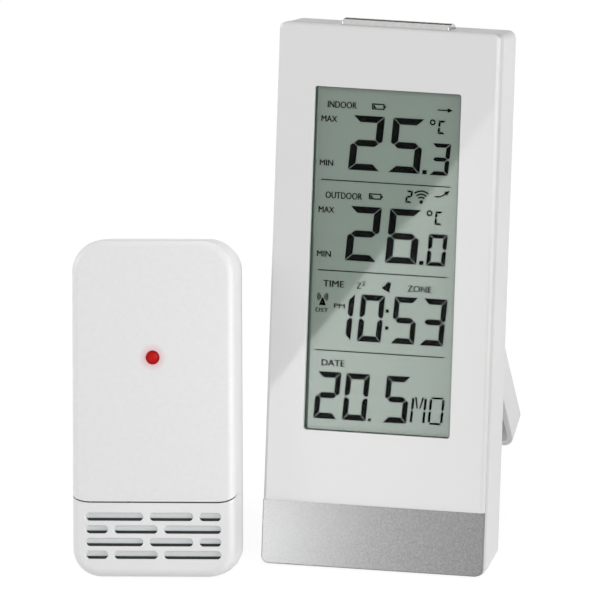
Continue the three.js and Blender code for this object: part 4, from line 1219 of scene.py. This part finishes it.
def make_shells():
    make_front_plate()
    make_trim()
    make_snooze_bar()
    make_rear_case()
    make_buttons()
    make_leg()
    battery_cover("battery_cover", CONSOLE, LID.corner)
    make_sensor_cover()
    make_vent_cap()
    make_sensor_back()
    make_sensor_stand()
    make_led()
    battery_cover("sensor_battery_cover", SENSOR, SENSOR_COVER.corner)
    make_screws()
    make_cells()


# Display drawing: flat dark shapes on the display, in the console's x and z

INK_BACK = 2.42
INK_FRONT = 2.36
SLANT = math.tan(math.radians(4.2))


def ink(name, outlines):
    """Thin plates, one for each outline."""
    plates = merged([prism(outline, INK_FRONT, INK_BACK) for outline in outlines])
    dress(plates, name, CONSOLE, "lcd", material="ink", angle=20)


SEGMENTS = {
    "0": "abcdef", "1": "bc", "2": "abdeg", "3": "abcdg", "5": "acdfg", "6": "acdefg", "C": "adef",
}


def segment_outlines(width, height, stroke, tall, gap):
    """The seven segments of an upright digit. Stroke is across the uprights, tall across the bars."""
    mid, rise = height / 2, tall / 2
    tip = 0.42 * stroke
    inner = width - stroke
    right = [
        (width, height - gap), (inner, height - tall - gap), (inner, mid + rise + gap),
        (width - tip, mid + gap), (width, mid + gap + tip * 0.6),
    ]
    bar = [(gap, height), (width - gap, height), (inner - gap, height - tall), (stroke + gap, height - tall)]
    middle = [
        (tip + gap, mid), (stroke + gap, mid + rise), (inner - gap, mid + rise),
        (width - tip - gap, mid), (inner - gap, mid - rise), (stroke + gap, mid - rise),
    ]

    def mirrored(points):
        return [(width - x, z) for x, z in points]

    def flipped(points):
        return [(x, height - z) for x, z in points]

    return {
        "a": bar, "b": right, "c": flipped(right), "d": flipped(bar),
        "e": flipped(mirrored(right)), "f": mirrored(right), "g": middle,
    }


def lean(points, x, z):
    """Slants a drawing from its foot and moves it to x, z."""
    return [(x + px + pz * SLANT, z + pz) for px, pz in points]


def digit(character, x, z, size):
    width, height, stroke, tall = size
    shapes = segment_outlines(width, height, stroke, tall, min(0.17, 0.12 * stroke))
    return [lean(shapes[key], x, z) for key in SEGMENTS[character]]


def digits(size, foot, places):
    """Digits of one size on one foot line, as pairs of a character and its x."""
    return [outline for character, x in places for outline in digit(character, x, foot, size)]


def stroke_line(points, width):
    """A line of even width through the points, as one outline."""
    left, right = [], []
    for i, (x, z) in enumerate(points):
        before = points[max(i - 1, 0)]
        after = points[min(i + 1, len(points) - 1)]
        dx, dz = after[0] - before[0], after[1] - before[1]
        length = math.hypot(dx, dz)
        nx, nz = -dz / length * width / 2, dx / length * width / 2
        left.append((x + nx, z + nz))
        right.append((x - nx, z - nz))
    return left + right[::-1]


def ring_outlines(x, z, radius, width):
    """A ring as two half bands."""
    return [stroke_line(arc(x, z, radius, start, start + 180), width) for start in (0, 180)]


BIG = (10.55, 17.65, 2.36, 2.12)
MEDIUM = (7.95, 15.2, 1.78, 1.88)
SMALL = (6.3, 10.3, 1.42, 1.3)
TINY = (2.2, 4.0, 0.66, 0.6)
LETTER = (2.5, 4.4, 0.72, 0.66)


def temperature_row(prefix, foot, tenths, first, second):
    """Two big digits, the point, one small digit, and the degree sign with its letter."""
    outlines = digits(BIG, foot, [(first, -13.05), (second, 0.35)])
    outlines += digit(tenths, 14.15, foot - 0.1, SMALL)
    outlines.append(lean(rectangle(0, 1.45, 0, 1.35), 11.85, foot))
    outlines += ring_outlines(14.8, foot + 16.85, 0.74, 0.48)
    outlines += digit("C", 16.5, foot + 13.2, LETTER)
    ink(prefix + "_temperature", outlines)


def battery_sign(x, z):
    """A small cell with its plus end on the right and a wedge of charge left."""
    width, height, line = 4.2, 1.95, 0.4
    sides = [
        rectangle(x, x + width, z, z + line),
        rectangle(x, x + width, z + height - line, z + height),
        rectangle(x, x + line, z + line, z + height - line),
        rectangle(x + width - line, x + width, z + line, z + height - line),
    ]
    nub = rectangle(x + width, x + width + 0.45, z + 0.6, z + height - 0.6)
    low, high = z + 0.5, z + height - 0.55
    wedge = [(x + 0.55, low), (x + 1.5, low), (x + 0.8, high), (x + 0.55, high)]
    return [*sides, nub, wedge]


def arrow_head(x, z, direction):
    length, half = 1.75, 0.8
    dx, dz = math.cos(direction), math.sin(direction)
    base = (x - dx * length, z - dz * length)
    return [(x, z), (base[0] - dz * half, base[1] + dx * half), (base[0] + dz * half, base[1] - dx * half)]


def draw_signs():
    flat = [rectangle(16.3, 19.8, 149.19, 149.61), arrow_head(21.4, 149.4, 0)]
    rising_line = [(16.35, 121.5), (17.3, 121.4), (18.3, 121.55), (19.3, 122.05), (20.1, 122.75)]
    rising = [stroke_line(rising_line, 0.44), arrow_head(21.3, 123.6, math.radians(38))]
    ink("trend_signs", flat + rising)
    ink("battery_signs", battery_sign(-5.7, 148.3) + battery_sign(-5.7, 119.3))
    waves = [stroke_line(arc(11.86, 119.45, radius, 48, 132), 0.48) for radius in (1.5, 2.5, 3.5)]
    ink("signal_sign", [disc(11.86, 119.45, 0.6), *waves])
    ink("channel_number", digit("2", 6.5, 118.9, TINY))
    mast = [(-21.2, 84.2), (-18.85, 84.2), (-19.82, 86.6), (-20.23, 86.6)]
    beams = [
        stroke_line(arc(-20.03, 86.95, radius, start, start + 90), 0.27)
        for radius in (0.75, 1.25, 1.75) for start in (-45, 135)
    ]
    ink("clock_signal_sign", [mast, *beams])
    ink("alarm_sign", [bell_outline(1.55, 91.4), disc(0.75, 90.55, 0.33, 12)])
    ink("colon", [lean(rectangle(0, 1.1, 0, 1.1), 1.2, z) for z in (77.6, 83.05)])


def bell_outline(x, z):
    """A tilted bell."""
    half = [(0, 1.75), (0.55, 1.55), (0.82, 0.95), (0.95, -0.3), (1.5, -1.0), (1.5, -1.3), (0, -1.3)]
    shape = half + [(-px, pz) for px, pz in half[::-1][1:-1]]
    turn = math.radians(-28)
    return [
        (x + px * math.cos(turn) - pz * math.sin(turn), z + px * math.sin(turn) + pz * math.cos(turn))
        for px, pz in shape
    ]


def word(text, x0, x1, base, cap):
    """A word set between x0 and x1 on the line base, with capitals cap high."""
    curve = bpy.data.curves.new(text, "FONT")
    curve.body = text
    curve.resolution_u = 3
    thing = in_scene(text, curve)
    graph = bpy.context.evaluated_depsgraph_get()
    mesh = bpy.data.meshes.new_from_object(thing.evaluated_get(graph))
    bpy.data.objects.remove(thing)
    bpy.data.curves.remove(curve)
    xs = [vertex.co.x for vertex in mesh.vertices]
    ys = [vertex.co.y for vertex in mesh.vertices]
    left, low = min(xs), min(ys)
    wide, tall = max(xs) - left, max(ys) - low
    for vertex, x, y in zip(mesh.vertices, xs, ys):
        vertex.co = (x0 + (x - left) / wide * (x1 - x0), INK_FRONT, base + (y - low) / tall * cap)
    return mesh


WORDS = [
    ("INDOOR", -20.5, -10.8, 148.1, 2.15),
    ("MAX", -22.45, -17.2, 143.5, 1.95),
    ("MIN", -22.5, -18.05, 129.3, 1.9),
    ("OUTDOOR", -20.2, -8.0, 118.85, 2.15),
    ("MAX", -22.35, -17.15, 114.15, 1.95),
    ("MIN", -22.4, -17.8, 99.9, 1.9),
    ("TIME", -20.0, -13.0, 90.3, 2.05),
    ("Z", -8.8, -7.2, 90.2, 2.0),
    ("Z", -6.95, -5.75, 91.3, 1.4),
    ("ZONE", 8.3, 16.3, 90.25, 2.1),
    ("DST", -22.2, -18.05, 82.0, 1.35),
    ("PM", -16.1, -12.5, 83.5, 1.55),
    ("DATE", -19.6, -11.95, 64.75, 2.05),
]

WORD_WEIGHT = 0.045


def draw_words():
    """The words as thin plates, each set twice with a small shift, which thickens its uprights."""
    shape = bmesh.new()
    for text, x0, x1, base, cap in WORDS:
        for side in (-WORD_WEIGHT, WORD_WEIGHT):
            mesh = word(text, x0 + side, x1 + side, base, cap)
            shape.from_mesh(mesh)
            bpy.data.meshes.remove(mesh)
    bmesh.ops.recalc_face_normals(shape, faces=shape.faces)
    made = bmesh.ops.extrude_face_region(shape, geom=shape.faces[:])
    moved = [item for item in made["geom"] if isinstance(item, bmesh.types.BMVert)]
    bmesh.ops.translate(shape, verts=moved, vec=(0, INK_BACK - INK_FRONT, 0))
    bmesh.ops.recalc_face_normals(shape, faces=shape.faces)
    dress(drawn("legends", shape), "legends", CONSOLE, "lcd", material="ink", angle=20)


def letter_outlines(x, z, width, height, kind):
    """M or O of a starburst cell: thin strokes with gaps between them."""
    line, gap, end = 0.78, 0.3, 0.75
    mid = height / 2
    shapes = [
        rectangle(side, side + line, low, high)
        for side in (0, width - line)
        for low, high in ((end, mid - gap), (mid + gap, height - end))
    ]
    if kind == "O":
        for edge, inner in ((0, line * 0.8), (height, height - line * 0.8)):
            shapes.append([(0.35, edge), (width - 0.35, edge), (width - 0.95, inner), (0.95, inner)])
    else:
        top = height - 0.35
        left = [(0.95, top), (1.5, top), (2.15, mid + 0.9), (2.15, mid + 0.35), (1.75, mid + 0.9)]
        shapes += [left, [(width - px, pz) for px, pz in left]]
    return [lean(points, x, z) for points in shapes]


def draw_display():
    temperature_row("indoor", 128.45, "3", "2", "5")
    temperature_row("outdoor", 99.15, "0", "2", "6")
    ink("clock_digits", digits(MEDIUM, 73.3, [("1", -18.25), ("0", -8.1), ("5", 3.1), ("3", 12.8)]))
    date = digits(MEDIUM, 47.65, [("2", -21.85), ("0", -12.2), ("5", 1.4)])
    date.append(lean(rectangle(0, 0.95, 0, 0.95), -3.4, 47.7))
    date += letter_outlines(10.5, 47.55, 4.95, 9.3, "M") + letter_outlines(16.5, 47.9, 4.95, 8.9, "O")
    ink("date_digits", date)
    ink("dividing_lines", [rectangle(-21.9, 21.5, z - 0.16, z + 0.16) for z in (124.77, 95.57, 69.75)])
    draw_signs()
    draw_words()


# Stage: a white floor that keeps the shadows, a white surround and soft studio lamps


def white_in_view(nodes, lit, output, share, strength):
    """Camera, mirror and glass rays see mostly plain white; other rays see the lit surface."""
    path = nodes.add("ShaderNodeLightPath").outputs
    direct = nodes.math("MAXIMUM", path["Is Camera Ray"], path["Is Glossy Ray"])
    seen = nodes.math("MAXIMUM", direct, path["Is Transmission Ray"])
    kind = "ShaderNodeEmission" if output.type == "OUTPUT_MATERIAL" else "ShaderNodeBackground"
    plain = nodes.add(kind, {"Color": (1, 1, 1), "Strength": strength})
    nodes.mix(output, nodes.math("MULTIPLY", seen, share), lit, plain)


WORLD_LIGHT = 0.42
FLOOR = Values(half=4, share=0.8, white=1.13)
STUDIO = Values(aim=(0, 0, 0.08), distance=1.2, side=0.6)

STUDIO_LAMPS = [("key", 20, 32, 2.7), ("right_fill", 74, 18, 4.7), ("left_fill", -76, 24, 4.9)]

GLARE = Values(left=(-38, 53.9), right=(38, 153.5), distance=900, glow=(2.95, 1.85))

REAR_FLAG = Values(x=(-0.7, 0.5), y=0.5, z=(0.1, 0.24), colour=(0.04, 0.04, 0.04))

TRIM_LAMP = Values(aim=(-52, 9), distance=170, side=0.024, power=0.1)

SENSOR_LAMPS = {"side": (78, 5, 0.034), "top": (172, 60, 0.03)}
SENSOR_LAMP = Values(distance=0.15, side=0.08)


def mirrored_in_face(x, z, distance):
    """The place in front of the face that the camera sees mirrored at x, z on it."""
    lens = CONSOLE.inverse @ CAMERA_PLACE
    behind = Vector((lens.x, -lens.y, lens.z))
    return CONSOLE.matrix @ (behind + (Vector((x, 0, z)) - behind) * (1 + distance / behind.y))


def studio_card(name, corners, colour, strengths):
    """A card that only mirrors show, with one strength at its first corner and one at its second."""
    card = new_object(name, corners, [tuple(range(len(corners)))])
    finish = Finish(name)
    finish.tree.nodes.remove(finish.shader)
    across = corners[1] - corners[0]
    place = finish.add("ShaderNodeNewGeometry").outputs["Position"]
    along = finish.vector_math("DOT_PRODUCT", place, across)
    strength = finish.ramp(along, *strengths, corners[0].dot(across), corners[1].dot(across))
    light = finish.add("ShaderNodeEmission", {"Color": colour, "Strength": strength})
    finish.feed(finish.output.inputs["Surface"], light.outputs[0])
    card.data.materials.append(finish.material)
    for rays in ("camera", "diffuse", "transmission", "shadow"):
        setattr(card, "visible_" + rays, False)


def make_cards():
    """A bright card for the light corner of the face, and a dark one behind for the chrome bar."""
    left, right = GLARE.left, GLARE.right
    base = CONSOLE.extent("front_plate").z0
    outline = [(left[0], base), (right[0], base), right, left]
    corners = [mirrored_in_face(x, z, GLARE.distance) for x, z in outline]
    studio_card("glare_card", corners, (1, 1, 1), GLARE.glow)
    (x0, x1), y, (z0, z1) = REAR_FLAG.x, REAR_FLAG.y, REAR_FLAG.z
    corners = [Vector((x, y, z)) for x, z in rectangle(x0, x1, z0, z1)]
    studio_card("rear_flag", corners, REAR_FLAG.colour, (1, 1))


def make_stage():
    half = FLOOR.half
    corners = [(x, y, 0) for x, y in rectangle(-half, half, -half, half)]
    floor = new_object("floor", corners, [(0, 1, 2, 3)])
    finish = Finish("floor")
    floor.data.materials.append(finish.set({
        "Base Color": (0.85, 0.85, 0.85), "Roughness": 0.9, "Specular IOR Level": 0,
    }))
    white_in_view(finish, finish.shader, finish.output, FLOOR.share, FLOOR.white)
    world = bpy.data.worlds.new("studio")
    world.use_nodes = True
    bpy.context.scene.world = world
    nodes = Nodes(world.node_tree)
    surround, output = nodes.tree.nodes["Background"], nodes.tree.nodes["World Output"]
    nodes.feed(surround.inputs["Color"], (1, 1, 1))
    nodes.feed(surround.inputs["Strength"], WORLD_LIGHT)
    white_in_view(nodes, surround, output, 1.0, 1.0)


def make_lamp(name, place, target, side, power):
    data = bpy.data.lights.new(name, "AREA")
    data.shape = "SQUARE"
    data.size = side
    data.energy = power
    lamp = in_scene(name, data)
    lamp.location = place
    lamp.rotation_mode = "QUATERNION"
    lamp.rotation_quaternion = (place - target).to_track_quat("Z", "Y")
    lamp.visible_camera = False
    return lamp


def light_only(lamp, names):
    """The lamp lights the named pieces and nothing else."""
    group = bpy.data.collections.new(lamp.name)
    for name in names:
        group.objects.link(bpy.data.objects[name])
    lamp.light_linking.receiver_collection = group


def make_lamps():
    middle = Vector(STUDIO.aim)
    for name, azimuth, elevation, power in STUDIO_LAMPS:
        place = middle + look_from(azimuth, elevation) * STUDIO.distance
        make_lamp(name, place, middle, STUDIO.side, power)
    x, z = TRIM_LAMP.aim
    place = mirrored_in_face(x, z, TRIM_LAMP.distance)
    gleam = make_lamp("trim_lamp", place, CONSOLE.at(x, 0, z), TRIM_LAMP.side, TRIM_LAMP.power)
    light_only(gleam, ["foot_trim"])
    middle = SENSOR.at(0, 0, LAMP_Z)
    for name, (azimuth, elevation, power) in SENSOR_LAMPS.items():
        place = middle + look_from(azimuth, elevation) * SENSOR_LAMP.distance
        lamp = make_lamp("sensor_lamp_" + name, place, middle, SENSOR_LAMP.side, power)
        light_only(lamp, ["sensor_face", "sensor_rear_shell", "sensor_vent_foot"])


make_camera()
finish_cad_nodes()
make_shells()
draw_display()
make_stage()
make_cards()
make_lamps()

bpy.context.scene.view_settings.view_transform = "Standard"
